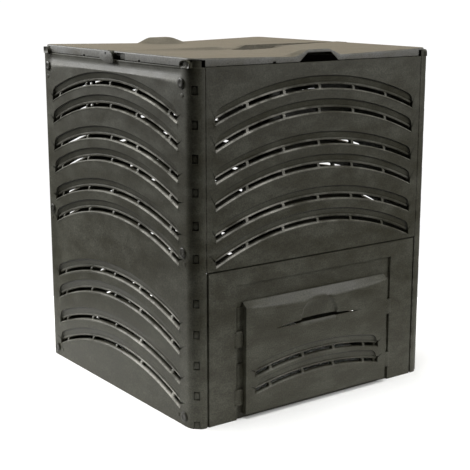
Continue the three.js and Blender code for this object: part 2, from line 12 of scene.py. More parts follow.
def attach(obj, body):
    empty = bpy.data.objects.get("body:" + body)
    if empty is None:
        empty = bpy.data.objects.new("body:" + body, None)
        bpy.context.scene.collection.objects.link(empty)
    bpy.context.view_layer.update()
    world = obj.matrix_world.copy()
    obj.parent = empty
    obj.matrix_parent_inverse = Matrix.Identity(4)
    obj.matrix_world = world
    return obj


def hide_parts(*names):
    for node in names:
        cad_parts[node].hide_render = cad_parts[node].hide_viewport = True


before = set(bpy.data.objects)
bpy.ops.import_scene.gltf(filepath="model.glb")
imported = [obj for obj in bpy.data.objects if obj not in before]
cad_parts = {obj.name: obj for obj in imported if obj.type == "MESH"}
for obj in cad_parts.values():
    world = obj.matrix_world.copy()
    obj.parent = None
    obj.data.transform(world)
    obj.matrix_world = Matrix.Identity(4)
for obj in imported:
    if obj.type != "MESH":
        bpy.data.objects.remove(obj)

bl_info = {
    "name": "Compost bin with lid", "version": (1, 0, 0), "blender": (4, 5, 0),
    "location": "3D View > Sidebar > Compost bin",
    "description": "Builds the looks of a moulded compost bin around its packed frame",
    "category": "Object",
}

MM = 0.001
QUARTER = math.pi / 2
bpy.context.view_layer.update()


def mm(*values):
    """Millimetres as metres."""
    return [value * MM for value in values]


def linear(colour):
    """An sRGB hex colour as linear values."""
    parts = [int(colour[i : i + 2], 16) / 255 for i in (1, 3, 5)]
    return tuple(c / 12.92 if c <= 0.04045 else ((c + 0.055) / 1.055) ** 2.4 for c in parts)


def length(name, millimetres, description):
    """A length property with its default in millimetres."""
    return FloatProperty(
        name=name, description=description, default=millimetres * MM, min=0, unit="LENGTH",
        subtype="DISTANCE",
    )


def colour(name, value, description):
    """A colour property with an sRGB hex default."""
    return FloatVectorProperty(
        name=name, description=description, default=linear(value), min=0, max=1, size=3,
        subtype="COLOR",
    )


# Settings


class WallSizes(bpy.types.PropertyGroup):
    footprint: length("Footprint", 700, "Outside length of each wall")
    top: length("Wall top", 805, "Height of the walls")
    seam: length("Seam height", 358, "Seam between the upper and lower panels")
    seam_width: length("Seam width", 4, "Open seam between the upper and lower panels")
    wall: length("Wall", 4.5, "Thickness of the moulded walls")
    corner_radius: length("Corner radius", 30, "Outside radius of the upright corners")
    wrap_reach: length("Wrap", 34, "How far a side panel comes round the corner")
    rim_step: length("Rim step", 5, "How far the band under the lid stands back")
    ledge_reach: length("Ledge", 12, "How far the rim reaches inwards")
    flange: length("Flange", 4, "Thickness of the flanges behind the corners")
    flange_tail: length("Flange tail", 22.5, "How far a flange runs past the corner")

    @property
    def half(self):
        """From the middle to a wall's outer face."""
        return self.footprint / 2

    @property
    def centre(self):
        """From the middle to where a wall bends into its corner."""
        return self.half - self.corner_radius

    @property
    def head(self):
        """Height of the lower panels."""
        return self.seam - self.seam_width / 2


class VentSizes(bpy.types.PropertyGroup):
    slot: length("Slot", 8, "Height of the open slots")
    rise: length("Louvre rise", 26, "From a slot's middle to its louvre's top")
    depth: length("Louvre depth", 8, "How far a louvre leans in")
    step: length("Step", 3.2, "How far a louvre steps in under its top edge")
    bead: length("Bead", 2.4, "How far the lip over a slot stands up")
    divider: length("Divider", 8, "Width of the bars between the slots")
    end_inset: length("End inset", 62, "From the wall's end to the slots' end")
    front_radius: length("Front arch", 720, "Arch radius on the front and the rear")
    side_radius: length("Side arch", 748, "Arch radius on the sides")


class HatchSizes(bpy.types.PropertyGroup):
    width: length("Hatch width", 432, "Width of the hatch")
    bottom: length("Hatch foot", 12, "Height of the hatch's foot")
    top: length("Hatch top", 277, "Height of the hatch's top")
    proud: length("Proud", 10.5, "How far the hatch stands out of the wall")
    wall: length("Hatch wall", 4, "Thickness of the hatch")
    scoop_radius: length("Scoop radius", 56, "Radius of the thumb scoop")
    scoop_depth: length("Scoop depth", 7, "Depth of the thumb scoop at the slit")
    recess: length("Recess", 6, "Depth of the frame's recess round the hatch")


class LidSizes(bpy.types.PropertyGroup):
    wall: length("Lid wall", 3.5, "Thickness of the lid")
    middle: length("Middle height", 817, "Height of the dished plate's middle")
    edge_rise: length("Edge rise", 8, "Rise from the middle to the edges")
    corner_radius: length("Lid corner", 26, "Corner radius in plan")
    edge_round: length("Edge rounding", 3, "Rounding between plate and skirt")
    hump_top: length("Hump top", 833, "Height of the handle hump")


class FinishSettings(bpy.types.PropertyGroup):
    wall_colour: colour("Wall colour", "#3a392f", "Recycled plastic of the walls")
    lid_colour: colour("Lid colour", "#585752", "Plastic of the lid")
    # Pale tone of the painted highlight on slot rims, bars, edges and a chamfer band, and of the scuffs
    rim_highlight_and_scuff_colour: colour("Rim highlight and scuff colour", "#a3a198", "Painted highlight on the slot rims, and pale scuffs")
    dust_colour: colour("Dust colour", "#675936", "Dry dust on the lid")
    # Painted shade under the louvres' top edges and on the recesses' end walls
    crease_shade_colour: colour("Crease shade colour", "#12110d", "Painted shade in the creases")
    peg_colour: colour("Peg colour", "#2b2a23", "Plastic of the lock pegs")
    grain: length("Grain", 3.2, "Width of the moulded grain, coarser than the real one")
    flow: length("Flow marks", 75, "Size of the cloudy flow marks")
    peg_sides: IntProperty(
        name="Peg sides", description="Steps round a lock peg", default=32, min=8, max=64,
    )


# Materials


SCUFF = 22 * MM  # size of the rubbed patches
# The four limits of a map range
LIMITS = ("From Min", "From Max", "To Min", "To Max")


def add_node(tree, kind, settings=None, **links):
    """Adds a node: settings go to its properties or inputs, and sockets given for inputs are linked."""
    node = tree.nodes.new("ShaderNode" + kind)
    for name, value in {**(settings or {}), **links}.items():
        if isinstance(value, bpy.types.NodeSocket):
            tree.links.new(value, node.inputs[name])
        elif isinstance(name, str) and name in node.bl_rna.properties:
            setattr(node, name, value)
        else:
            node.inputs[name].default_value = value
    return node


def set_stops(node, stops):
    """Sets a ramp's colour stops, as position and colour, and gives its colour output."""
    ramp = node.color_ramp
    while len(ramp.elements) < len(stops):
        ramp.elements.new(0.5)
    for element, (place, value) in zip(ramp.elements, stops):
        element.position = place
        element.color = (*value, 1)
    return node.outputs["Color"]


def new_material(name):
    """A material with its node tree and its shader."""
    material = bpy.data.materials.new(name)
    material.use_nodes = True
    tree = material.node_tree
    return material, tree, tree.nodes["Principled BSDF"]


def moulded_polypropylene(name, tint, pale_tint_of_wear_and_highlight, roughness, evenness, settings):
    """Polypropylene from a textured mould: a satin skin with cloudy flow marks and pale scuffs."""
    # The grain scatters the sheen, the flow marks cloud it, and the scuffs are where it was rubbed
    material, tree, shader = new_material(name)
    shader.inputs["IOR"].default_value = 1.49
    shader.inputs["Specular IOR Level"].default_value = 0.26
    shader.inputs["Metallic"].default_value = 0.0
    place = add_node(tree, "TexCoord").outputs["Object"]
    drawn = add_node(tree, "Mapping", {"Scale": (1.0, 1.0, 2.0)}, Vector=place).outputs["Vector"]
    flow = {"Scale": 1 / settings.flow, "Detail": 5.0, "Roughness": 0.62}
    clouds = add_node(tree, "TexNoise", flow, Vector=drawn).outputs["Fac"]
    fine = {"Scale": 1 / settings.grain, "Detail": 2.0, "Roughness": 0.5}
    grain = add_node(tree, "TexNoise", fine, Vector=place).outputs["Fac"]
    lean = {"Scale": (1.0, 1.0, 7.0), "Rotation": (0.35, 0.2, 0.0)}
    streaks = add_node(tree, "Mapping", lean, Vector=place).outputs["Vector"]
    patches = {"Scale": 1 / SCUFF, "Detail": 6.0, "Roughness": 0.7, "Distortion": 0.4}
    scuffs = add_node(tree, "TexNoise", patches, Vector=streaks).outputs["Fac"]
    dark = tuple(c * share for c, share in zip(tint, (0.74, 0.72, 0.64)))
    pale = tuple(min(1.0, c * share + 0.003) for c, share in zip(tint, (1.34, 1.37, 1.44)))
    tones = [(0.34, dark), (0.50, tint), (0.66, pale)]
    tone = set_stops(add_node(tree, "ValToRGB", Fac=clouds), tones)
    rubs = [(0.60, (0, 0, 0)), (0.78, (1, 1, 1))]
    dust_scuffs_and_painted_light = set_stops(add_node(tree, "ValToRGB", Fac=scuffs), rubs)
    # The mesh attribute read here paints highlight on slot rims, bars, edges and a chamfer band, and
    # holds the dust on the lid's plate
    rims = add_node(tree, "Attribute", {"attribute_name": "dust_scuffs_and_painted_light"}).outputs["Fac"]
    uneven = dict(zip(LIMITS, (0.38, 0.6, evenness, 1.0)))
    patchy = add_node(tree, "MapRange", uneven, Value=clouds).outputs[0]
    patchy_rim_highlight_and_dust = add_node(tree, "Math", {"operation": "MULTIPLY", 0: rims, 1: patchy}).outputs[0]
    share = {"operation": "MULTIPLY_ADD", "use_clamp": True, 0: dust_scuffs_and_painted_light, 1: 0.16, 2: patchy_rim_highlight_and_dust}
    worn = add_node(tree, "Math", share).outputs[0]
    paler = {"data_type": "RGBA", "Factor": worn, 6: tone, 7: (*pale_tint_of_wear_and_highlight, 1)}
    mixed = add_node(tree, "Mix", paler).outputs[2]
    # Below zero the same attribute paints shade into the creases under the louvres' top edges and onto
    # the recesses' end walls
    painted_crease_shade = {"operation": "MULTIPLY", "use_clamp": True, 0: rims, 1: -0.8}
    creases = add_node(tree, "Math", painted_crease_shade).outputs[0]
    darker = {"data_type": "RGBA", "Factor": creases, 6: mixed, 7: (*settings.crease_shade_colour, 1)}
    crease_shaded = add_node(tree, "Mix", darker).outputs[2]
    grainy = dict(zip(LIMITS, (0.3, 0.7, 0.7, 1.3)))
    speckle = add_node(tree, "MapRange", grainy, Value=grain).outputs[0]
    speckles = {"operation": "SCALE", 0: crease_shaded, "Scale": speckle}
    speckled = add_node(tree, "VectorMath", speckles).outputs[0]
    sheen = dict(zip(LIMITS, (0.3, 0.7, roughness - 0.07, roughness + 0.09)))
    rough = add_node(tree, "MapRange", sheen, Value=clouds).outputs[0]
    waves = add_node(tree, "Bump", {"Strength": 0.35, "Distance": 0.9 * MM}, Height=clouds)
    pits = {"Strength": 0.30, "Distance": 0.35 * MM, "Normal": waves.outputs[0]}
    bumps = add_node(tree, "Bump", pits, Height=grain).outputs[0]
    for key, output in (("Base Color", speckled), ("Roughness", rough), ("Normal", bumps)):
        tree.links.new(output, shader.inputs[key])
    return material


def pale_floor_paint():
    """Matt studio paint: an even pale floor that takes a soft shadow."""
    material, tree, shader = new_material("matt_painted_studio_floor")
    place = add_node(tree, "TexCoord").outputs["Object"]
    mottle = add_node(tree, "TexNoise", {"Scale": 2.0, "Detail": 2.0}, Vector=place)
    ramp = add_node(tree, "ValToRGB", Fac=mottle.outputs["Fac"])
    tone = set_stops(ramp, [(0.2, linear("#f4f4f2")), (0.8, linear("#fafaf9"))])
    tree.links.new(tone, shader.inputs["Base Color"])
    shader.inputs["Roughness"].default_value = 0.9
    return material


# Meshes


def new_object(name, data):
    """An object linked into the scene."""
    made = bpy.data.objects.new(name, data)
    bpy.context.scene.collection.objects.link(made)
    return made


def finish_mesh(bm, name, angle=32):
    """Points the faces outwards and makes the object, smooth but for its sharp edges."""
    bmesh.ops.recalc_face_normals(bm, faces=bm.faces[:])
    mesh = bpy.data.meshes.new(name)
    bm.to_mesh(mesh)
    bm.free()
    mesh.shade_smooth()
    mesh.set_sharp_from_angle(angle=math.radians(angle))
    return new_object(name, mesh)


def dress(piece, node, body, material):
    """Gives a piece its material, hangs it on its body, and hides the CAD node that it stands for."""
    piece.data.materials.append(material)
    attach(piece, body)
    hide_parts(node)


def turned(bm, degrees):
    """Turns a wall drawn as the front one into its own place on the bin."""
    turn = Matrix.Rotation(math.radians(degrees), 4, "Z")
    bmesh.ops.transform(bm, matrix=Matrix.Translation((0, SHIFT, 0)) @ turn, verts=bm.verts[:])
    return bm


def verts_of(geom):
    return [item for item in geom if isinstance(item, bmesh.types.BMVert)]


def round_edges(bm, edges, radius):
    """Rounds edges off in two steps."""
    bmesh.ops.bevel(
        bm, geom=list(edges), offset=radius, offset_type="OFFSET", segments=2, profile=0.5,
        affect="EDGES", material=-1,
    )


def rounded_block(bm, low, high, radius, frame_turn=None):
    """A block between two corners with rounded edges."""
    low, high = Vector(low), Vector(high)
    size = high - low
    place = Matrix.Translation((low + high) / 2) @ Matrix.Diagonal((*size, 1))
    made = bmesh.ops.create_cube(bm, size=1, matrix=(frame_turn or Matrix()) @ place)
    edges = {edge for vert in made["verts"] for edge in vert.link_edges}
    round_edges(bm, edges, min(radius, min(size) * 0.45))


def rounded_prism(bm, outline, push, radius):
    """A flat outline pushed out to a solid, with rounded edges."""
    face = bm.faces.new([bm.verts.new(point) for point in outline])
    made = bmesh.ops.extrude_face_region(bm, geom=[face], use_keep_orig=True)["geom"]
    verts = verts_of(made)
    bmesh.ops.translate(bm, vec=push, verts=verts)
    edges = {edge for vert in [*face.verts, *verts] for edge in vert.link_edges}
    round_edges(bm, [edge for edge in edges if edge.calc_face_angle(0) > 0.5], radius)


def rod(bm, start, end, radius):
    """A round pin between two points."""
    start, end = Vector(start), Vector(end)
    along = (end - start).to_track_quat("Z", "Y").to_matrix().to_4x4()
    bmesh.ops.create_cone(
        bm, cap_ends=True, segments=24, radius1=radius, radius2=radius, depth=(end - start).length,
        matrix=Matrix.Translation((start + end) / 2) @ along,
    )


def spun_solid(bm, profile, place, steps):
    """A turned solid about the Y axis from pairs of radius and depth in millimetres."""
    verts = [bm.verts.new((*mm(r, y), 0)) for r, y in profile]
    edges = [bm.edges.new(pair) for pair in zip(verts, verts[1:])]
    bmesh.ops.spin(
        bm, geom=verts + edges, cent=(0, 0, 0), axis=(0, 1, 0), angle=2 * math.pi, steps=steps,
        use_merge=True,
    )
    near = [v for v in bm.verts if v.co.length < 50 * MM]
    bmesh.ops.remove_doubles(bm, verts=near, dist=0.01 * MM)
    near = [v for v in near if v.is_valid]
    bmesh.ops.translate(bm, vec=place, verts=near)


def numbered_grid(across, down, sign):
    """A flat grid whose points know their column and row, counted along Y or against it."""
    bm = bmesh.new()
    dust_scuffs_and_painted_light = bm.verts.layers.float.new("dust_scuffs_and_painted_light")
    bmesh.ops.create_grid(bm, x_segments=across, y_segments=down, size=1)
    column = bm.verts.layers.int.new("column")
    row = bm.verts.layers.int.new("row")
    for vert in bm.verts:
        vert[column] = round((vert.co.x + 1) / 2 * across)
        vert[row] = round((1 + sign * vert.co.y) / 2 * down)
    return bm, column, row, dust_scuffs_and_painted_light


def moulded_sheet(bm, columns, rows, opened, place, worn=None):
    """A thin moulding on a grid: opened leaves out the cells of holes, place sets both faces."""
    sheet, column, row, dust_scuffs_and_painted_light = numbered_grid(len(columns) - 1, len(rows) - 1, -1)
    inner = sheet.verts.layers.int.new("inner")
    holes = [
        face
        for face in sheet.faces
        if opened(min(v[column] for v in face.verts), min(v[row] for v in face.verts))
    ]
    bmesh.ops.delete(sheet, geom=holes, context="FACES")
    made = bmesh.ops.extrude_face_region(sheet, geom=sheet.faces[:], use_keep_orig=True)
    for vert in verts_of(made["geom"]):
        vert[inner] = 1
    for vert in sheet.verts:
        vert.co = place(columns[vert[column]], vert[row], bool(vert[inner]))
        # The outer face carries the painted highlight and shade as a mesh attribute
        if worn and not vert[inner]:
            vert[dust_scuffs_and_painted_light] = worn(columns[vert[column]], vert[row])
    bmesh.ops.recalc_face_normals(sheet, faces=sheet.faces[:])
    held = bpy.data.meshes.new("sheet")
    sheet.to_mesh(held)
    sheet.free()
    bm.from_mesh(held)
    bpy.data.meshes.remove(held)


# Walls, each drawn as the front one with its outer face at -Y and turned into place

Column = namedtuple("Column", "outer inner inset back vented", defaults=(False,))
Row = namedtuple("Row", "height inner_height depth back slot worn", defaults=(False, None))

SHIFT = 5.25 * MM
FIT = 0.3 * MM
UPPER_EDGE = 315 * MM
LOWER_EDGE = 310.5 * MM
RECESS_GAP = 3 * MM
END_SLOPE = 0.8 * MM
MARGIN = 320 * MM
PAIR_STEP = 53 * MM
CHAMFER = 2.2 * MM
LIP = 0.8 * MM
WINDOW_ANGLE = math.radians(50)
WINDOW_FLAT = math.radians(13.6)
WINDOW_HALF = 10 * MM
UPPER_WINDOWS = mm(758, 685, 612, 539, 466, 393)
LOWER_WINDOWS = mm(292, 221, 150, 79, 8)
FRONT_DIVIDERS = [s * 288 * MM for s in (-0.708, -0.354, 0, 0.354, 0.708)]
SIDE_DIVIDERS = [s * 288 * MM for s in (-0.885, -0.406, 0, 0.406, 0.885)]
UPPER_PEAKS = mm(749, 621, 493)
LOWER_PEAKS = mm(287, 159)
HINGE_Z = 819 * MM
HINGE_Y = 8 * MM
PIN_RADIUS = 3 * MM
POST_DEPTH = 12 * MM
FLAT_END = 302 * MM  # the last column on the flat of a wall
STUDS = (mm(312, 746), mm(315, 378), mm(283, 20))  # along the wall and up
PEG_ALONG = 309 * MM
PEG_LEVELS = {"top": 772 * MM, "middle": 403 * MM, "bottom": 22 * MM}
BAND = 27 * MM  # height of the band under the lid
BAND_HALF = 312 * MM
TOOTH_WIDTH = 11.4 * MM
TOOTH_HALF = 8.4 * MM  # half its height
SLACK = 0.1 * MM  # columns closer than this to the recess's end lie on it
SAME = 1e-6  # heights closer than this are one


def signed(value, sign):
    return math.copysign(value, sign)


def mix(a, b, share):
    return a + (b - a) * share


def clamp(value):
    return min(max(value, 0), 1)


def smooth(value):
    value = clamp(value)
    return value * value * (3 - 2 * value)


def sag(x, radius):
    """How far an arch has fallen from its peak."""
    return radius - math.sqrt(radius * radius - x * x)


def round_corner(along, inset, sizes):
    """The point a distance along the wall, which bends round the corner, and an inset from its face."""
    centre, radius = sizes.centre, sizes.corner_radius
    reach = abs(along)
    if reach <= centre:
        return along, inset - sizes.half
    angle = min((reach - centre) / radius, QUARTER)
    rest = max(reach - centre - radius * QUARTER, 0)
    x = centre + (radius - inset) * math.sin(angle)
    return signed(x, along), rest - centre - (radius - inset) * math.cos(angle)


def even(value):
    return lambda x: value


def level_row(z):
    return Row(even(z), even(z), even(0.0), None)


def between_rows(above, below, share):
    backs = above.back, below.back
    return Row(
        lambda x: mix(above.height(x), below.height(x), share),
        lambda x: mix(above.inner_height(x), below.inner_height(x), share),
        lambda x: mix(above.depth(x), below.depth(x), share),
        None if None in backs else mix(*backs, share),
        above.slot,
    )


def filled_rows(rows, step, where):
    """Puts rows between those that lie far apart at a given place."""
    full = [rows[0]]
    for above, below in zip(rows, rows[1:]):
        gap = above.height(where) - below.height(where)
        count = int(gap / step)
        full += [between_rows(above, below, i / (count + 1)) for i in range(1, count + 1)]
        full.append(below)
    return full


def vent_reach(sizes, vents):
    """How far from the middle the slots of a wall end."""
    return sizes.half - vents.end_inset


def in_slot(x, dividers, reach, vents):
    """Tells whether a place lies in a slot, neither at a bar nor past the ends."""
    return abs(x) < reach and all(abs(x - d) > vents.divider / 2 for d in dividers)


def slot_reach(x, dividers, reach, vents):
    """Half a slot's height, pinched to round off its ends."""
    bar = vents.divider / 2
    ends = [-reach, reach, *(d + side * bar for d in dividers for side in (-1, 1))]
    gap = min(abs(x - end) for end in ends)
    half = vents.slot / 2
    share = min(gap / half, 1) if in_slot(x, dividers, reach, vents) else 0
    return half * max(math.sqrt(1 - (1 - share) ** 2), 0.4)


def louvre_rows(peak, radius, dividers, reach, vents, wall, pale_marks_and_highlight):
    """Rows down one louvre: its top, its slope, the bead, the slot and the ledge under it.

    The last argument says how strongly highlight is painted on the rims, and towards which end it is
    painted brightest.
    """
    amount, highlight_end = pale_marks_and_highlight
    half, deep, rise, bead = vents.slot / 2, vents.depth, vents.rise, vents.bead
    back, corner, end = deep + wall, 15 * MM, reach + RECESS_GAP

    def slope(offset):
        return mix(vents.step, deep, (rise - offset) / (rise - half))

    def arch(x):
        return peak - sag(min(abs(x), end), radius)

    def top(x):
        past = min(max(abs(x) - (end - corner), 0), corner)
        return arch(x) + rise - corner + math.sqrt(corner**2 - past**2)

    def at(curve, offset):
        return lambda x: curve(x) + offset

    def foot(x):
        return arch(x) + slot_reach(x, dividers, reach, vents)

    def sill(x):
        return arch(x) - slot_reach(x, dividers, reach, vents)

    def on_bar(x, margin=0):
        return any(abs(x - d) < vents.divider / 2 - margin for d in dividers)

    def slot_depth(x):
        return deep * 0.35 if on_bar(x, 0.3 * MM) else deep

    # Painted highlight on the rims of the slots, brightest towards one end
    def rim(x):
        share = smooth((highlight_end * x / reach + 0.15) / 0.75)
        return amount * mix(0.22, 1.0, share) if abs(x) < end else 0.0

    # Painted shade along the crease under the louvre's top edge
    def crease_shade(x):
        return -1.0 if abs(x) < end else 0.0

    # Painted highlight on the bars between the slots
    def bars(x):
        return 0.8 * rim(x) if on_bar(x) else 0.0

    def row(above, depth, back, below=0.0, worn=None):
        return Row(at(arch, above), at(arch, above - below), even(depth), back, False, worn)

    under, clear = at(top, -1.4 * MM), at(top, -5.4 * MM)
    return [
        Row(top, top, even(0.0), wall),
        Row(under, under, even(vents.step), wall + vents.step * 0.6, False, crease_shade),
        Row(clear, clear, even(slope(rise - 5.4 * MM)), mix(wall, back, 0.5)),
        row(10.4 * MM, slope(10.4 * MM), mix(wall, back, 0.71)),
        row(9 * MM, slope(9 * MM) - bead, mix(wall, back, 0.78), worn=rim),
        row(6 * MM, slope(6 * MM) - bead * 1.1, mix(wall, back, 0.9), worn=rim),
        row(4.7 * MM, deep - bead * 0.8, back - 0.2 * MM, worn=rim),
        Row(foot, foot, slot_depth, back, True, bars),
        Row(sill, sill, slot_depth, back, False, bars),
        row(-half, CHAMFER, back, wall, rim),
        row(-half - CHAMFER, -LIP, wall + 0.2 * MM, wall + 0.4 * MM, rim),
        row(-half - 4.2 * MM, -LIP, wall + 0.1 * MM, wall + 0.8 * MM),
        row(-half - 5.4 * MM, 0.0, wall, wall + 1.2 * MM),
    ]


def vented_rows(top, bottom, peaks, radius, dividers, sizes, vents, highlight_end, step=13 * MM):
    """Rows from the top edge to the foot, with a pair of louvres under each peak."""
    reach = vent_reach(sizes, vents)
    # Full painted highlight on the rims, brightest towards the given end
    common = (dividers, reach, vents, sizes.wall, (1.0, highlight_end))
    rows = [level_row(z) for z in top]
    for peak in peaks:
        for drop in (0, PAIR_STEP):
            rows += louvre_rows(peak - drop, radius - drop, *common)
    rows += [level_row(z) for z in bottom]
    return filled_rows(rows, step, reach)


def snapped_heights(rows, edges, where):
    """The rows' heights on the corner, with one row moved to each window edge."""
    natural = [row.height(where) for row in rows]
    last = len(rows) - 1
    stops = [(0, natural[0])]
    edges = sorted(edges, reverse=True)
    for number, edge in enumerate(edges):
        first = stops[-1][0] + 1
        spare = last - (len(edges) - number)
        best = min(range(first, max(first, spare) + 1), key=lambda i: abs(natural[i] - edge))
        stops.append((best, edge))
    if stops[-1][1] > natural[-1]:
        stops.append((last, natural[-1]))
    else:
        stops[-1] = (last, natural[-1])
    heights = []
    for i in range(len(rows)):
        k = min(bisect.bisect_right([s[0] for s in stops], i), len(stops) - 1)
        (i0, z0), (i1, z1) = stops[k - 1], stops[k]
        heights.append(mix(z0, z1, (i - i0) / (i1 - i0)))
    return heights


def spread_places(dividers, near, ends, others, gap):
    """Places across a moulding: close beside bars and ends, and elsewhere those clear of them."""
    fixed = {d + side * n for d in dividers for n in near for side in (-1, 1)}
    fixed |= {side * end for end in ends for side in (-1, 1)}
    for x in others:
        if all(abs(x - other) > gap for other in fixed):
            fixed.add(x)
    return sorted(fixed)


def vent_places(dividers, sizes, vents):
    """Places across a vented wall."""
    reach, count = vent_reach(sizes, vents), 32
    near = [vents.divider / 2 + n for n in mm(-0.6, 0, 0.8, 2.2, 4)]
    ends = [reach + n for n in mm(-12, -4, -2.2, -0.8, 0)]
    ends += [reach + RECESS_GAP, reach + RECESS_GAP + END_SLOPE]
    others = [mix(-reach + 12 * MM, reach - 12 * MM, i / count) for i in range(count + 1)]
    return spread_places(dividers, near, ends, others, 7 * MM)


def flat_column(x, end, wall):
    """A column on the flat of a wall; past the recess's end its back follows the end wall."""
    on_end = end - SLACK < abs(x) < end + END_SLOPE + SLACK
    behind = x + signed(wall, x) if on_end else x
    return Column(x, behind, 0.0, wall, abs(x) < end + SLACK)


def both_sides(middle, outer):
    """Columns with a mirrored set past each end."""
    mirrored = [Column(-c.outer, -c.inner, c.inset, c.back, c.vented) for c in outer]
    return [*reversed(mirrored), *middle, *outer]


def corner_angles():
    """Stops round a corner, close at the windows' edges."""
    low, high = WINDOW_ANGLE - WINDOW_FLAT, WINDOW_ANGLE + WINDOW_FLAT
    before = [low * i / 5 for i in range(1, 6)]
    inside = [mix(low, high, i / 4) for i in range(1, 5)]
    after = [mix(high, QUARTER, i / 4) for i in range(1, 5)]
    return before + inside + after


def side_columns(sizes, vents):
    """Columns of a side panel, round both corners to the wrapped edges."""
    end = vent_reach(sizes, vents) + RECESS_GAP
    middle = [flat_column(x, end, sizes.wall) for x in vent_places(SIDE_DIVIDERS, sizes, vents)]
    centre, radius = sizes.centre, sizes.corner_radius
    wrapped = centre + radius * QUARTER + sizes.wrap_reach - radius
    places = [FLAT_END, 311 * MM, centre, *(centre + radius * angle for angle in corner_angles())]
    outer = [Column(x, x, 0.0, sizes.wall) for x in (*places, wrapped - 0.8 * MM)]
    outer.append(Column(wrapped, wrapped, 0.8 * MM, sizes.wall))
    return both_sides(middle, outer)


def flange_columns(edge, sizes):
    """Columns from a panel's edge round the inside of the corner to the flange's tail."""
    centre, radius = sizes.centre, sizes.corner_radius
    front, back = sizes.wall + FIT, sizes.wall + FIT + sizes.flange
    behind = edge - 3 * MM
    rest = [centre, *(centre + radius * (i / 10 * QUARTER) for i in range(1, 11))]
    rest.append(centre + radius * QUARTER + sizes.flange_tail)
    return [
        Column(edge - 0.8 * MM, behind - 0.8 * MM, 0.0, sizes.wall),
        Column(edge, behind, 0.8 * MM, sizes.wall),
        Column(edge, behind, front, back),
        *(Column(x, x, front, back) for x in rest),
    ]


def sheet_place(rows, heights, sizes, vents, rim=None):
    """Places the points of a wall: its rows bow as arches and run out level at the corners."""
    end = vent_reach(sizes, vents) + RECESS_GAP + END_SLOPE

    def place(column, number, inner):
        row = rows[number]
        along = column.outer
        height = row.inner_height if inner and column.vented else row.height
        z = height(min(abs(along), end - END_SLOPE) * (1 if along > 0 else -1))
        out = clamp((abs(along) - end) / (MARGIN - end))
        z = mix(z, heights[number], out)
        if column.vented:
            inset = row.depth(along)
            if inner:
                inset = sizes.wall if row.back is None else row.back
        else:
            inset = column.back if inner else column.inset
        if rim:
            inset += rim(along, z)
        return (*round_corner(column.inner if inner else along, inset, sizes), z)

    return place


def rim_highlight_and_crease_shade(rows, end):
    """Tells how much highlight is painted on a rim or an edge, and below zero how much shade is painted
    into a crease or onto a recess's end.
    """

    def worn(column, number):
        row, x = rows[number], column.outer
        # Painted highlight along the rounded edges of the panels and the hatch
        if 0.5 * MM < column.inset < 1 * MM:
            return 0.45
        # Painted shade on the recesses' end walls
        if abs(abs(x) - end) < SLACK and row.depth(x) > 1 * MM:
            return -0.8
        return row.worn(x) if row.worn and column.vented else 0.0

    return worn


def slot_holes(columns, rows, dividers, reach, vents):
    """Tells whether a cell lies in a slot."""

    def opened(column, row):
        middle = (columns[column].outer + columns[column + 1].outer) / 2
        return rows[row].slot and in_slot(middle, dividers, reach, vents)

    return opened


def window_holes(columns, heights, windows, sizes):
    """Tells whether a cell lies in a corner window."""
    low, high = (
        sizes.centre + sizes.corner_radius * (WINDOW_ANGLE + side * WINDOW_FLAT) for side in (-1, 1)
    )

    def opened(column, row):
        middle = abs(columns[column].outer + columns[column + 1].outer) / 2
        level = (heights[row] + heights[row + 1]) / 2
        return low < middle < high and any(abs(level - z) < WINDOW_HALF for z in windows)

    return opened


def add_ledge(bm, reach, sizes):
    """The rim inside the wall's top edge."""
    low = (-reach, sizes.wall - sizes.half - 0.3 * MM, sizes.top - 4.5 * MM)
    rounded_block(bm, low, (reach, sizes.ledge_reach - sizes.half, sizes.top), 0.6 * MM)


def add_ear(bm, side, sizes):
    """A rounded ear on the corner that keeps the lid in place."""
    centre = sizes.centre
    low, high = centre - 16 * MM, centre + sizes.corner_radius * math.radians(34)
    end = centre + sizes.corner_radius * math.radians(86)
    shares = (0, 0.02, 0.06, 0.12, 0.2, 0.3, 0.4, 0.5, 0.6, 0.7, 0.8, 0.88, 0.94, 0.98, 1)
    stops = [mix(low, high, share) for share in shares]
    stops += [mix(high, end, share) for share in (0.08, 0.3, 0.5, 0.7, 0.9, 1)]
    columns = [Column(side * s, side * s, 0.0, 14 * MM) for s in stops]
    levels = [15, 14.2, 12, 8, 4, -1]

    def place(column, number, inner):
        reach = abs(column.outer)
        edge = min(reach - low, high - reach)
        behind = reach > high + 0.5 * MM
        drop = 12 * MM - math.sqrt(max((12 * MM) ** 2 - max(12 * MM - edge, 0) ** 2, 0))
        top = sizes.top + levels[0] * MM - (1 * MM if behind else drop)
        foot = sizes.top + (0.2 * MM if inner else -1 * MM)
        z = mix(foot, top, (levels[number] + 1) / 16)
        middle = smooth((edge - 3 * MM) / (3 * MM)) * (1 if levels[number] in (12, 8, 4) else 0)
        inset = 6 * MM if behind else mix(-2.6, 1.8, middle) * MM
        inset = column.back if inner else inset
        return (*round_corner(column.outer, inset, sizes), z)

    moulded_sheet(bm, columns, levels, lambda c, r: False, place)


def add_stud(bm, x, z, sizes):
    """A low round stud left by the mould beside a lock peg."""
    profile = [(0, -1.3), (3.6, -1.2), (5.2, -0.7), (6.0, 1.0), (0, 1.0)]
    spun_solid(bm, profile, (x, -sizes.half, z), 20)


def add_post(bm, sizes):
    """The hinge post in the middle of a side panel's top edge, with its two pin holes' bosses."""
    face, foot, top, reach = -sizes.half, sizes.top - 1 * MM, HINGE_Z + 5.5 * MM, 14.5 * MM
    shoulder, narrow = top - 5 * MM, 11 * MM
    corners = [(-reach, foot), (reach, foot), (reach, shoulder)]
    corners += [(narrow, top), (-narrow, top), (-reach, shoulder)]
    rounded_prism(bm, [(x, face, z) for x, z in corners], (0, POST_DEPTH, 0), 0.8 * MM)
    for y in (-HINGE_Y, HINGE_Y):
        rod(bm, (y, face - 0.25 * MM, HINGE_Z), (y, face + 2 * MM, HINGE_Z), 4.4 * MM)


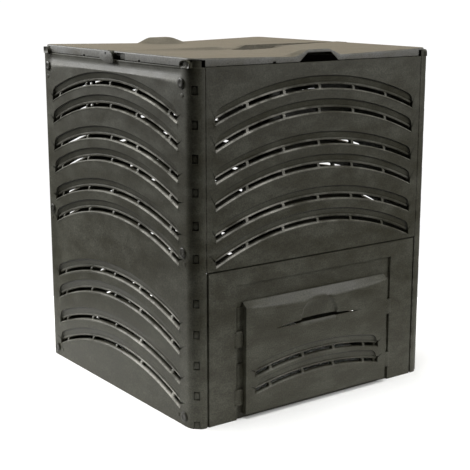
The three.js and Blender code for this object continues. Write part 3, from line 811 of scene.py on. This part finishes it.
def side_panel(sizes, vents, highlight_end):
    """A side wall with both corners, its louvres, windows, ears, rim and hinge post."""
    columns = side_columns(sizes, vents)
    band = sizes.top - BAND
    arches = (vents.side_radius, SIDE_DIVIDERS, sizes, vents, highlight_end)
    rows = vented_rows([sizes.top, sizes.top - 18 * MM, band], [], UPPER_PEAKS, *arches)
    # Painted highlight on the chamfer under the band beneath the lid
    rows = [row._replace(worn=even(0.25)) if row.height(0) == band else row for row in rows]
    rows += vented_rows([], [0.0], LOWER_PEAKS, *arches)
    reach = vent_reach(sizes, vents)
    end = reach + RECESS_GAP
    rows = filled_rows(rows, 13 * MM, end)
    windows = [*UPPER_WINDOWS, *LOWER_WINDOWS]
    edges = [z + s for z in windows for s in (-WINDOW_HALF, WINDOW_HALF)]
    heights = snapped_heights(rows, edges, end)
    slots = slot_holes(columns, rows, SIDE_DIVIDERS, reach, vents)
    holes = window_holes(columns, heights, windows, sizes)

    def opened(column, row):
        return slots(column, row) or holes(column, row)

    def rim(along, z):
        ends = smooth((BAND_HALF - abs(along)) / (12 * MM))
        return sizes.rim_step * ends * smooth((z - sizes.top + BAND) / (9 * MM))

    bm = bmesh.new()
    for side in (-1, 1):
        for x, z in STUDS:
            add_stud(bm, side * x, z, sizes)
    add_ledge(bm, 318 * MM, sizes)
    add_post(bm, sizes)
    for side in (-1, 1):
        add_ear(bm, side, sizes)
    place = sheet_place(rows, heights, sizes, vents, rim)
    moulded_sheet(bm, columns, rows, opened, place, rim_highlight_and_crease_shade(rows, end))
    return bm


def add_teeth(bm, windows, span, sizes):
    """The snap teeth that fill the corner windows, square to the rounded corner."""
    outer, across = sizes.corner_radius - 2.0 * MM, TOOTH_WIDTH / 2
    inner = sizes.corner_radius - sizes.wall - sizes.flange
    for side in (-1, 1):
        turn = Matrix.Rotation(side * (QUARTER - WINDOW_ANGLE), 4, "Z")
        corner = Matrix.Translation((side * sizes.centre, -sizes.centre, 0)) @ turn
        for z in windows:
            low, high = max(z - TOOTH_HALF, span[0]), min(z + TOOTH_HALF, span[1])
            rounded_block(bm, (-across, -outer, low), (across, -inner, high), 0.8 * MM, corner)


def panel_columns(edge, sizes, vents):
    """Columns of a vented front or rear panel with its flanges."""
    end = vent_reach(sizes, vents) + RECESS_GAP
    middle = [flat_column(x, end, sizes.wall) for x in vent_places(FRONT_DIVIDERS, sizes, vents)]
    plain = [Column(FLAT_END, FLAT_END, 0.0, sizes.wall)]
    return both_sides(middle, plain + flange_columns(edge, sizes))


def vented_panel(edge, top, bottom, peaks, windows, sizes, vents):
    """A vented front or rear panel."""
    columns = panel_columns(edge, sizes, vents)
    arches = (vents.front_radius, FRONT_DIVIDERS, sizes, vents, -1)
    rows = vented_rows([top], [bottom], peaks, *arches, 16 * MM)
    reach = vent_reach(sizes, vents)
    end = reach + RECESS_GAP
    opened = slot_holes(columns, rows, FRONT_DIVIDERS, reach, vents)
    place = sheet_place(rows, snapped_heights(rows, [], end), sizes, vents)
    bm = bmesh.new()
    add_teeth(bm, windows, (bottom, top), sizes)
    moulded_sheet(bm, columns, rows, opened, place, rim_highlight_and_crease_shade(rows, end))
    return bm


def upper_panel(sizes, vents):
    """The upper front or rear wall."""
    foot = sizes.seam + sizes.seam_width / 2
    bm = vented_panel(UPPER_EDGE, sizes.top, foot, UPPER_PEAKS, UPPER_WINDOWS, sizes, vents)
    add_ledge(bm, 314 * MM, sizes)
    return bm


def add_tongue(bm, sizes):
    """The tongue behind the foot of the upper panel."""
    head, front, reach = sizes.head, sizes.wall - sizes.half, LOWER_EDGE - 1 * MM
    low = (-reach, front - 0.3 * MM, head - 9 * MM)
    rounded_block(bm, low, (reach, front + 5.6 * MM, head - 0.4 * MM), 0.5 * MM)
    low = (-reach, front + 2.6 * MM, head - 1 * MM)
    rounded_block(bm, low, (reach, front + 5.6 * MM, head + 10 * MM), 0.6 * MM)


def rear_lower_panel(sizes, vents):
    """The lower rear wall."""
    bm = vented_panel(LOWER_EDGE, sizes.head, 0.0, LOWER_PEAKS, LOWER_WINDOWS, sizes, vents)
    add_tongue(bm, sizes)
    return bm


def add_keeper(bm, side, z, sizes, hatch):
    """A keeper over the hatch's flange: a rounded bracket with a ridge along its open edge."""
    inside, outside = hatch.width / 2 + 2.5 * MM, hatch.width / 2 + 24 * MM
    face = -sizes.half - 2 * MM
    xs = sorted((side * inside, side * outside))
    low, high = z - 19 * MM, z + 19 * MM
    rounded_block(bm, (xs[0], face + 1.2 * MM, low), (xs[1], face + 5.5 * MM, high), 1 * MM)
    ridge = sorted((side * inside, side * (inside + 4 * MM)))
    rounded_block(bm, (ridge[0], face, low), (ridge[1], face + 5 * MM, high), 1 * MM)
    for end in (low, high - 4 * MM):
        rounded_block(bm, (xs[0], face, end), (xs[1], face + 5 * MM, end + 4 * MM), 1 * MM)


def front_lower_panel(sizes, hatch):
    """The lower front wall: the frame round the hatch, its recess, sill and keepers."""
    head, wall, soft = sizes.head, sizes.wall, 1 * MM
    edge, open_half = hatch.width / 2 + 18 * MM, hatch.width / 2 - 16 * MM
    top, open_top, sill = hatch.top + 41 * MM, hatch.top - 15 * MM, 18 * MM
    xs = [0.0, 100 * MM, open_half, 216 * MM, edge - 6 * MM, edge - soft, edge, edge + soft]
    cells = []
    for x in sorted({side * x for x in (*xs, *mm(250, 280), FLAT_END) for side in (-1, 1)}):
        turn = signed(wall, x) if edge - 2 * MM < abs(x) < edge + 2 * MM else 0
        cells.append(Column(x, x + turn, 0.0, wall))
    columns = both_sides(cells, flange_columns(LOWER_EDGE, sizes))
    levels = [head, head - 0.6 * MM, 340 * MM, top + soft, top, top - soft, top - 6 * MM, 290 * MM]
    levels += [open_top, *mm(200, 140, 80), sill, 0.0]

    def place(column, number, inner):
        z = levels[number]
        across = min((edge - abs(column.outer)) / soft, 1)
        down = min((top - z) / soft, 1)
        deep = hatch.recess * smooth((min(across, down) + 1) / 2)
        if abs(z - top) < 2 * MM and inner:
            z += wall
        inset = (column.back if inner else column.inset) + (deep if column.inset == 0 else 0)
        return (*round_corner(column.inner if inner else column.outer, inset, sizes), z)

    def opened(column, row):
        x = abs(columns[column].outer + columns[column + 1].outer) / 2
        z = (levels[row] + levels[row + 1]) / 2
        return x < open_half and sill < z < open_top

    bm = bmesh.new()
    moulded_sheet(bm, columns, levels, opened, place)
    add_teeth(bm, LOWER_WINDOWS, (0.0, head), sizes)
    add_tongue(bm, sizes)
    for side in (-1, 1):
        for z in KEEPERS:
            add_keeper(bm, side, z, sizes, hatch)
    return bm


# Hatch

KEEPERS = mm(53.5, 192)  # heights of their middles
HATCH_VENTS = mm(124, 83.5)
HATCH_VENT_RADIUS = 800 * MM
HATCH_VENT_HALF = 182 * MM
HATCH_DIVIDERS = [s * 182 * MM for s in (-0.79, -0.26, 0.26, 0.79)]
SLIT_LOW = 203 * MM
SLIT_RISE = 9 * MM
SLIT_HALF = 130 * MM


def hatch_rows(hatch, vents):
    """Rows down the hatch: bevel, scoop, slit, two louvres and foot."""
    top, foot = hatch.top, hatch.bottom

    def slit(x):
        return SLIT_LOW + max(SLIT_RISE * (1 - (x / SLIT_HALF) ** 2), 1 * MM)

    rows = [level_row(z) for z in (top, top, top - 1 * MM)]
    rows += [level_row(top - z * MM) for z in range(5, 60, 4)]
    rows += [Row(slit, slit, even(0.0), None), level_row(SLIT_LOW)]
    # Faint painted highlight on the hatch's slot rims
    common = (HATCH_VENT_RADIUS, HATCH_DIVIDERS, HATCH_VENT_HALF, vents, hatch.wall, (0.15, -1))
    for peak in HATCH_VENTS:
        rows += louvre_rows(peak, *common)
    rows += [level_row(z) for z in (foot + 14 * MM, foot + 1 * MM, foot, foot)]
    return filled_rows(rows, 7 * MM, 0)


def hatch_door(sizes, vents, hatch):
    """The hatch: a shallow tray with a bevelled head, a scooped grip and two rows of vents."""
    half, face, wall = hatch.width / 2, -sizes.half - hatch.proud, hatch.wall
    back, flange = hatch.proud + hatch.recess - FIT, 2.5 * MM
    rows = hatch_rows(hatch, vents)
    last = len(rows) - 1

    def row_at(height, first=0):
        return next(i for i in range(first, last) if abs(rows[i].height(0) - height) < SAME)

    slit = row_at(SLIT_LOW + SLIT_RISE)
    slit_end = row_at(SLIT_LOW, slit + 1)
    end = HATCH_VENT_HALF + RECESS_GAP + 5 * MM
    near = [vents.divider / 2 + n for n in mm(-0.6, 0, 1, 4)]
    ends = [*(HATCH_VENT_HALF + n for n in mm(-4, -1, 0)), end, end + END_SLOPE, SLIT_HALF]
    others = [i * 6.2 * MM for i in range(-31, 32)]
    places = spread_places(HATCH_DIVIDERS, near, ends, others, 2.6 * MM)
    outer = [
        Column(half - 12 * MM, half - 12 * MM, 0.0, wall),
        Column(half - 1.2 * MM, half - wall, 0.0, wall),
        Column(half, half - wall, 1.2 * MM, wall),
        Column(half, half - wall, back - flange, back),
        Column(half + 15 * MM, half + 15 * MM, back - flange, back),
    ]
    columns = both_sides([flat_column(x, end, wall) for x in places], outer)
    flange_spans = (mm(33.5, 132), mm(172, 265))
    heights = snapped_heights(rows, [*flange_spans[0], *flange_spans[1]], half)
    slots = slot_holes(columns, rows, HATCH_DIVIDERS, HATCH_VENT_HALF, vents)

    def bevel(x, z):
        low = hatch.top - 24 * MM + 13 * MM * (x / half) ** 2
        return 12.5 * MM * max(z - low, 0) / (hatch.top - low)

    def scoop(x, z):
        centre = SLIT_LOW + 5 * MM
        off = hatch.scoop_radius - math.hypot(x, z - centre)
        if z < centre - 8 * MM:
            return 0.0
        depth = mix(3 * MM, hatch.scoop_depth, smooth(1 - (z - centre) / hatch.scoop_radius))
        return depth * smooth(off / (5 * MM)) * smooth((z - SLIT_LOW + 1 * MM) / (2 * MM))

    def place(column, number, inner):
        row, x = rows[number], column.outer
        height = row.inner_height if inner and column.vented else row.height
        z = height(signed(min(abs(x), end), x))
        z = mix(z, heights[number], clamp((abs(x) - end) / (half - 12 * MM - end)))
        if number in (0, 1):
            z = hatch.top
        if number in (last, last - 1):
            z = hatch.bottom
        if inner:
            z = min(max(z, hatch.bottom + wall), hatch.top - wall)
            inset = row.back if column.vented and row.back is not None else column.back
        else:
            inset = max(column.inset, row.depth(x) if column.vented else 0.0)
        bevelled = abs(x) <= half + 1 * MM and column.inset < 2 * MM
        inset += max(bevel(x, z) if bevelled else 0, scoop(x, z))
        if inner and abs(x) <= half and column.back == wall:
            inset = min(inset, back - 0.3 * MM)
        if number in (0, last):
            inset = back
        return (column.inner if inner else x), face + inset, z

    def opened(column, row):
        x = (columns[column].outer + columns[column + 1].outer) / 2
        if abs(x) > half:
            z = (heights[row] + heights[row + 1]) / 2
            return not any(low < z < high for low, high in flange_spans)
        return abs(x) < SLIT_HALF if slit <= row < slit_end else slots(column, row)

    bm = bmesh.new()
    moulded_sheet(bm, columns, rows, opened, place, rim_highlight_and_crease_shade(rows, end))
    low = (-150 * MM, face + wall - 0.3 * MM, 18.3 * MM)
    rounded_block(bm, low, (150 * MM, face + back + 10 * MM, 22.8 * MM), 0.8 * MM)
    bmesh.ops.dissolve_degenerate(bm, dist=0.01 * MM, edges=bm.edges[:])
    return bm


# Lid

LEAF_HALF = 344 * MM
NOTCH = 128 * MM
NOTCH_HALF = 4.1 * MM
NOTCH_RISE = 3.5 * MM
SIDE_SKIRT = 38 * MM  # where the side skirts start, from a leaf's front edge
FRONT_SKIRT = 312 * MM  # how far from the middle the front skirt ends
EDGE_FOOT = 820.4 * MM  # where the rim ends at the corners, which have no skirt
HUMP_HALF = 57 * MM
HUMP_FOOT = 826.5 * MM  # where the rim ends under the handle hump
SEAM_NOTCH = 326.9 * MM  # how far back a leaf gets narrower
SKIRT_GAP = 1.6 * MM  # from the walls' top to the skirts
LID_DUST = 0.36  # how much dust lies on the plate


def leaf_height(x, v, lid):
    """Height of a leaf's plate, by x and the distance back from its front edge."""
    y = v - LEAF_HALF
    plate = lid.middle + lid.edge_rise * abs(x) / LEAF_HALF
    if -337.8 * MM < x < -24 * MM and y > -48 * MM:
        share = smooth((y + 48 * MM) / (33 * MM)) * smooth((-24 * MM - x) / (26 * MM))
        return mix(plate, lid.middle + lid.edge_rise, share)
    across = smooth((77 * MM - abs(x)) / (54 * MM))
    back = smooth((86 * MM - v) / (66 * MM))
    bowl = 1 - ((x - 60 * MM) / (80 * MM)) ** 2 - ((y + 20 * MM) / (40 * MM)) ** 2
    if bowl > 0:
        plate = min(plate, lid.middle - 5 * MM * math.sqrt(bowl))
    return max(plate, mix(lid.middle, lid.hump_top, across * back)) if v < 90 * MM else plate


def skirt_foot(x, y, sizes, lid):
    """How far down the skirt reaches at a place on a leaf's rim."""
    foot = sizes.top + SKIRT_GAP
    if abs(y + LEAF_HALF) < 5 * MM:
        if abs(x) > FRONT_SKIRT:
            return EDGE_FOOT
        if abs(x) < HUMP_HALF:
            return mix(foot, HUMP_FOOT, min((HUMP_HALF - abs(x)) / (23 * MM), 1))
        return foot + (NOTCH_RISE if abs(x + NOTCH) < NOTCH_HALF else 0)
    if y < SIDE_SKIRT - LEAF_HALF:
        return EDGE_FOOT
    if x < 0 and y > -66 * MM:
        return lid.middle + lid.edge_rise - lid.wall
    return foot + (NOTCH_RISE if abs(y + NOTCH) < NOTCH_HALF else 0)


def lid_places(edge):
    """Places across a leaf and back from its front edge."""
    across = [*mm(0, 20, 24, 34, 38, 42, 50, 57, 66, 75, 84, *range(96, 290, 22), 296, 311.7, 312.3)]
    across += [*mm(318, 324, 330, 335, 337.2), LEAF_HALF - edge]
    marks = {-NOTCH + d for d in mm(-4.4, -3.8, 3.8, 4.4)}
    bowl = {60 * MM + d for d in mm(-72, -60, -45, -30, -15, 0, 15, 30, 45, 60, 72)}
    xs = sorted({s * x for x in across for s in (-1, 1)} | marks | bowl | {*mm(-24.6, -337.9)})
    kept = [xs[0]]
    for x in xs[1:]:
        if x - kept[-1] > 0.25 * MM:
            kept.append(x)
    back = mm(7, 12, 17, 22, 26, 36, 37.7, 38.3, 48, 60, 71, 82, 92, *range(110, 191, 20))
    back += mm(211.6, 212.2, 219.8, 220.4, 240, 262, 277.7, 278.3, 284, 290, 296, 303, 310, 317)
    return kept, [edge, *back, 322 * MM, SEAM_NOTCH, *mm(328.7, 329.3, 335, 341)]


def lid_leaf(sizes, lid):
    """One leaf: a dished plate with rolled edges, skirts, the handle hump and a hand opening."""
    edge, radius = lid.edge_round, lid.corner_radius
    xs, vs = lid_places(edge)
    last = len(xs) - 1
    bm, column, row, dust_scuffs_and_painted_light = numbered_grid(last, len(vs) - 1, 1)
    notch = vs.index(SEAM_NOTCH)
    beside = [i for i, x in enumerate(xs) if abs(x) < 337.7 * MM]

    def past(face):
        numbers = [v[column] for v in face.verts]
        return min(numbers) < beside[0] or max(numbers) > beside[-1]

    holes = [f for f in bm.faces if min(v[row] for v in f.verts) >= notch and past(f)]
    bmesh.ops.delete(bm, geom=holes, context="FACES")
    centre, tight = LEAF_HALF - radius, radius - edge
    for vert in bm.verts:
        vert[dust_scuffs_and_painted_light] = LID_DUST
        x, v = xs[vert[column]], vs[vert[row]]
        y = v - LEAF_HALF
        z = leaf_height(x, v, lid)
        a, b = (abs(x) - centre) / tight, (-y - centre) / tight
        if a > 0 and b > 0:
            x = signed(centre + tight * a * math.sqrt(1 - b * b / 2), x)
            y = -(centre + tight * b * math.sqrt(1 - a * a / 2))
        vert.co = (x, y, z)

    def on_rim(vert):
        return vert[row] == 0 or (vert[column] in (0, last) and vert[row] <= notch)

    def outward(vert):
        x, y = vert.co.x, vert.co.y
        if abs(x) > centre and y < -centre:
            return Vector((signed(abs(x) - centre, x), y + centre, 0)).normalized()
        return Vector((0, -1, 0)) if vert[row] == 0 else Vector((signed(1, x), 0, 0))

    open_edges = [e for e in bm.edges if e.is_boundary]
    rim = [e for e in open_edges if all(on_rim(v) for v in e.verts)]
    seam = [e for e in open_edges if all(v[row] == len(vs) - 1 for v in e.verts)]
    for vert in verts_of(bmesh.ops.extrude_edge_only(bm, edges=seam)["geom"]):
        vert.co.z = min(vert.co.z - 6 * MM, lid.middle - 9 * MM)
    for out, down in ((0.5, -0.134), (0.366, -0.366), (0.134, -0.5), (0, None)):
        made = bmesh.ops.extrude_edge_only(bm, edges=rim)["geom"]
        rim = [item for item in made if isinstance(item, bmesh.types.BMEdge)]
        for vert in verts_of(made):
            vert[dust_scuffs_and_painted_light] = 0.0
            if down is None:
                vert.co.z = skirt_foot(vert.co.x, vert.co.y, sizes, lid)
            else:
                vert.co += outward(vert) * edge * out + Vector((0, 0, edge * down))
    return bm


def add_lobes(bm, sizes, lid):
    """The hinge lobes: an inner tab with its pin, and an outer hook that reaches over the wall."""
    inside = sizes.half - POST_DEPTH - FIT
    near, far = sizes.half + FIT, sizes.half + FIT + 2.7 * MM
    y, z, foot = -HINGE_Y, HINGE_Z, HINGE_Z - 5 * MM
    under, inner = lid.middle + 7.6 * MM - lid.wall, -inside + 4 * MM
    rounded_block(bm, (-inside, -34 * MM, foot), (inner, y, under), 0.6 * MM)
    cheek = (-inside, -68 * MM, sizes.top + SKIRT_GAP)
    rounded_block(bm, cheek, (inner, -33.5 * MM, under), 0.6 * MM)
    rod(bm, (-inside, y, z), (inner, y, z), 5 * MM)
    rod(bm, (-inside - 3.8 * MM, y, z), (-inside + 1 * MM, y, z), PIN_RADIUS)
    top, low, rest = lid.middle + lid.edge_rise, sizes.top - 8 * MM, sizes.top + FIT
    outline = [(near, -36 * MM, top), (near, -36 * MM, rest), (near, -6 * MM, low)]
    for i in range(9):
        a = QUARTER * i / 8
        outline.append((near, 4 * MM + 22 * MM * math.cos(a), low + (top - low) * math.sin(a)))
    rounded_prism(bm, outline, (far - near, 0, 0), 0.9 * MM)
    block = (LEAF_HALF - lid.wall, -36 * MM, rest)
    rounded_block(bm, block, (far - 0.1 * MM, -20 * MM, top - 0.1 * MM), 0.8 * MM)
    rod(bm, (sizes.half - 3.3 * MM, y, z), (far, y, z), PIN_RADIUS)


# Operators


def settings():
    scene = bpy.context.scene
    return scene.bin_walls, scene.bin_vents, scene.bin_hatch, scene.bin_lid, scene.bin_finish


def plastic(name):
    """One of the bin's plastics, made on first use."""
    found = bpy.data.materials.get(name)
    if found:
        return found
    finish = bpy.context.scene.bin_finish
    # The second colour is the pale tone of scuffs, of the lid's dust and of the painted highlight on
    # the walls
    tints = {
        "satin_moulded_polypropylene_walls": (finish.wall_colour, finish.rim_highlight_and_scuff_colour, 0.49, 0.15),
        "dusty_moulded_polypropylene_lid": (finish.lid_colour, finish.dust_colour, 0.50, 0.55),
        "satin_moulded_polypropylene_pegs": (finish.peg_colour, finish.rim_highlight_and_scuff_colour, 0.42, 0.15),
    }
    tint, pale_marks_and_highlight, roughness, evenness = tints[name]
    return moulded_polypropylene(name, tuple(tint), tuple(pale_marks_and_highlight), roughness, evenness, finish)


def place_wall(bm, node, degrees, body="bin"):
    """Turns a wall into place and dresses it."""
    piece = finish_mesh(turned(bm, degrees), f"{node}_moulding")
    dress(piece, node, body, plastic("satin_moulded_polypropylene_walls"))


class BIN_OT_side_panels(bpy.types.Operator):
    """Make the two side walls with their rounded corners"""

    bl_idname = "compost_bin.side_panels"
    bl_label = "Side panels"

    def execute(self, context):
        walls, vents, *_ = settings()
        for name, degrees, front in (("left_side_panel", -90, 1), ("right_side_panel", 90, -1)):
            place_wall(side_panel(walls, vents, front), name, degrees)
        return {"FINISHED"}


class BIN_OT_upper_panels(bpy.types.Operator):
    """Make the upper front and rear walls"""

    bl_idname = "compost_bin.upper_panels"
    bl_label = "Upper panels"

    def execute(self, context):
        walls, vents, *_ = settings()
        for name, degrees in (("front_upper_panel", 0), ("rear_upper_panel", 180)):
            place_wall(upper_panel(walls, vents), name, degrees)
        return {"FINISHED"}


class BIN_OT_lower_panels(bpy.types.Operator):
    """Make the lower front frame and the lower rear wall"""

    bl_idname = "compost_bin.lower_panels"
    bl_label = "Lower panels"

    def execute(self, context):
        walls, vents, hatch, *_ = settings()
        place_wall(front_lower_panel(walls, hatch), "front_lower_panel", 0)
        place_wall(rear_lower_panel(walls, vents), "rear_lower_panel", 180)
        return {"FINISHED"}


class BIN_OT_hatch(bpy.types.Operator):
    """Make the lifting hatch"""

    bl_idname = "compost_bin.hatch"
    bl_label = "Hatch"

    def execute(self, context):
        walls, vents, hatch, *_ = settings()
        door = hatch_door(walls, vents, hatch)
        place_wall(door, "hatch_door", 0, "hatch")
        return {"FINISHED"}


class BIN_OT_lid(bpy.types.Operator):
    """Make the two lid leaves"""

    bl_idname = "compost_bin.lid"
    bl_label = "Lid leaves"

    def execute(self, context):
        walls, _, _, lid, _ = settings()
        for body, degrees in (("front_leaf", 0), ("rear_leaf", 180)):
            shell = lid_leaf(walls, lid)
            bmesh.ops.recalc_face_normals(shell, faces=shell.faces[:])
            if sum(face.normal.z * face.calc_area() for face in shell.faces) < 0:
                bmesh.ops.reverse_faces(shell, faces=shell.faces[:])
            upper = set(shell.verts)
            bmesh.ops.solidify(shell, geom=shell.faces[:], thickness=lid.wall)
            dust_scuffs_and_painted_light = shell.verts.layers.float["dust_scuffs_and_painted_light"]
            for vert in shell.verts:
                vert[dust_scuffs_and_painted_light] = vert[dust_scuffs_and_painted_light] if vert in upper else 0.0
            add_lobes(shell, walls, lid)
            nub = (-297 * MM, -343.8 * MM, walls.top + FIT)
            rounded_block(shell, nub, (-283 * MM, -340.4 * MM, walls.top + 5 * MM), 1 * MM)
            name = body.replace("leaf", "lid_leaf")
            piece = finish_mesh(turned(shell, degrees), f"{name}_moulding", 40)
            dress(piece, name, body, plastic("dusty_moulded_polypropylene_lid"))
        return {"FINISHED"}


class BIN_OT_pegs(bpy.types.Operator):
    """Make the twelve lock pegs"""

    bl_idname = "compost_bin.pegs"
    bl_label = "Lock pegs"

    def execute(self, context):
        walls, _, _, _, finish = settings()
        corners = (
            ("front_left", -90, 1),
            ("rear_left", -90, -1),
            ("front_right", 90, -1),
            ("rear_right", 90, 1),
        )
        profile = [(0, -3.6), (4.6, -3.6), (6.0, -4.0), (8.6, -3.9), (10.6, -3.3), (11.5, -2.4)]
        profile += [(11.3, -1.8), (7.7, -1.6), (7.7, 9.6), (7.0, 10.3), (0, 10.3)]
        for corner, degrees, side in corners:
            for level, z in PEG_LEVELS.items():
                bm = bmesh.new()
                place = (side * PEG_ALONG, -walls.half, z)
                spun_solid(bm, profile, place, finish.peg_sides)
                node = f"lock_peg_{corner}_{level}"
                piece = finish_mesh(turned(bm, degrees), f"{node}_head")
                dress(piece, node, "bin", plastic("satin_moulded_polypropylene_pegs"))
        return {"FINISHED"}


def soft_light(name, place, aim, size, power, tint="#ffffff"):
    """A square soft light that the camera doesn't see."""
    data = bpy.data.lights.new(name, "AREA")
    data.shape = "RECTANGLE"
    data.size, data.size_y = size
    data.energy = power
    data.color = linear(tint)
    lamp = new_object(name, data)
    lamp.location = place
    lamp.rotation_euler = (Vector(aim) - Vector(place)).to_track_quat("-Z", "Y").to_euler()
    lamp.visible_camera = False


def white_studio():
    """A white backdrop behind the bin, and a room that is dim on the open side of the studio."""
    world = bpy.data.worlds.new("white_studio")
    world.use_nodes = True
    tree = world.node_tree
    tree.nodes.clear()
    towards = add_node(tree, "TexCoord").outputs["Generated"]
    open_side = {"operation": "DOT_PRODUCT", 0: towards, 1: (-0.58, -0.81, 0.0)}
    side = add_node(tree, "VectorMath", open_side).outputs["Value"]
    dimming = dict(zip(LIMITS, (-0.3, 0.6, 0.22, 0.02)))
    falloff = add_node(tree, "MapRange", dimming, Value=side).outputs[0]
    white = {"Color": (1, 1, 1, 1)}
    lit = add_node(tree, "Background", white, Strength=falloff).outputs[0]
    seen = add_node(tree, "Background", {**white, "Strength": 1.05}).outputs[0]
    path = add_node(tree, "LightPath").outputs["Is Camera Ray"]
    both = add_node(tree, "MixShader", {0: path, 1: lit, 2: seen}).outputs[0]
    add_node(tree, "OutputWorld", Surface=both)
    return world


class BIN_OT_stage(bpy.types.Operator):
    """Make the floor, the lights, the backdrop and the camera"""

    bl_idname = "compost_bin.stage"
    bl_label = "Stage"

    def execute(self, context):
        scene = context.scene
        bm = bmesh.new()
        bmesh.ops.create_circle(bm, cap_ends=True, segments=96, radius=0.85)
        floor = finish_mesh(bm, "studio_floor")
        floor.data.materials.append(pale_floor_paint())
        soft_light("left_softbox", (-1.7, 2.3, 1.9), (-0.3, 0.1, 0.6), (1.3, 1.3), 118)
        soft_light("right_softbox", (2.0, -2.8, 2.0), (0, 0, 0.35), (1.8, 1.6), 94)
        soft_light("back_softbox", (1.9, 2.9, 1.3), (0, 0, 0.8), (3.4, 1.1), 11, "#ffe4bd")
        overhead = bpy.data.lights.new("overhead_silk", "SUN")
        overhead.energy = 2.85
        overhead.angle = math.radians(30)
        silk = new_object("overhead_silk", overhead)
        silk.rotation_euler = (0, math.radians(-6), 0)
        scene.world = white_studio()
        data = bpy.data.cameras.new("studio_camera")
        data.lens = 86.2
        data.sensor_width = 36
        camera = new_object("studio_camera", data)
        camera.location = (-1.657, -2.308, 0.982)
        camera.rotation_euler = (math.radians(90 - 12.71), 0, math.radians(-35.83))
        scene.camera = camera
        scene.view_settings.view_transform = "Standard"
        return {"FINISHED"}


class BIN_PT_panel(bpy.types.Panel):
    """Lists the steps that build the bin"""

    bl_idname = "BIN_PT_panel"
    bl_label = "Compost bin"
    bl_space_type = "VIEW_3D"
    bl_region_type = "UI"
    bl_category = "Compost bin"

    def draw(self, context):
        for step in STEPS:
            self.layout.operator(step.bl_idname)
        for group in GROUPS:
            box = self.layout.box()
            held = getattr(context.scene, group)
            for name in held.__annotations__:
                box.prop(held, name)


GROUPS = {
    "bin_walls": WallSizes, "bin_vents": VentSizes, "bin_hatch": HatchSizes, "bin_lid": LidSizes,
    "bin_finish": FinishSettings,
}
STEPS = (
    BIN_OT_side_panels, BIN_OT_upper_panels, BIN_OT_lower_panels, BIN_OT_hatch, BIN_OT_lid,
    BIN_OT_pegs, BIN_OT_stage,
)


def register():
    for kind in (*GROUPS.values(), *STEPS, BIN_PT_panel):
        bpy.utils.register_class(kind)
    for name, kind in GROUPS.items():
        setattr(bpy.types.Scene, name, PointerProperty(type=kind))


def unregister():
    for name in GROUPS:
        delattr(bpy.types.Scene, name)
    for kind in reversed((*GROUPS.values(), *STEPS, BIN_PT_panel)):
        bpy.utils.unregister_class(kind)


def main():
    """Builds every piece in order."""
    register()
    for step in STEPS:
        group, name = step.bl_idname.split(".")
        getattr(getattr(bpy.ops, group), name)()


if __name__ == "__main__":
    main()
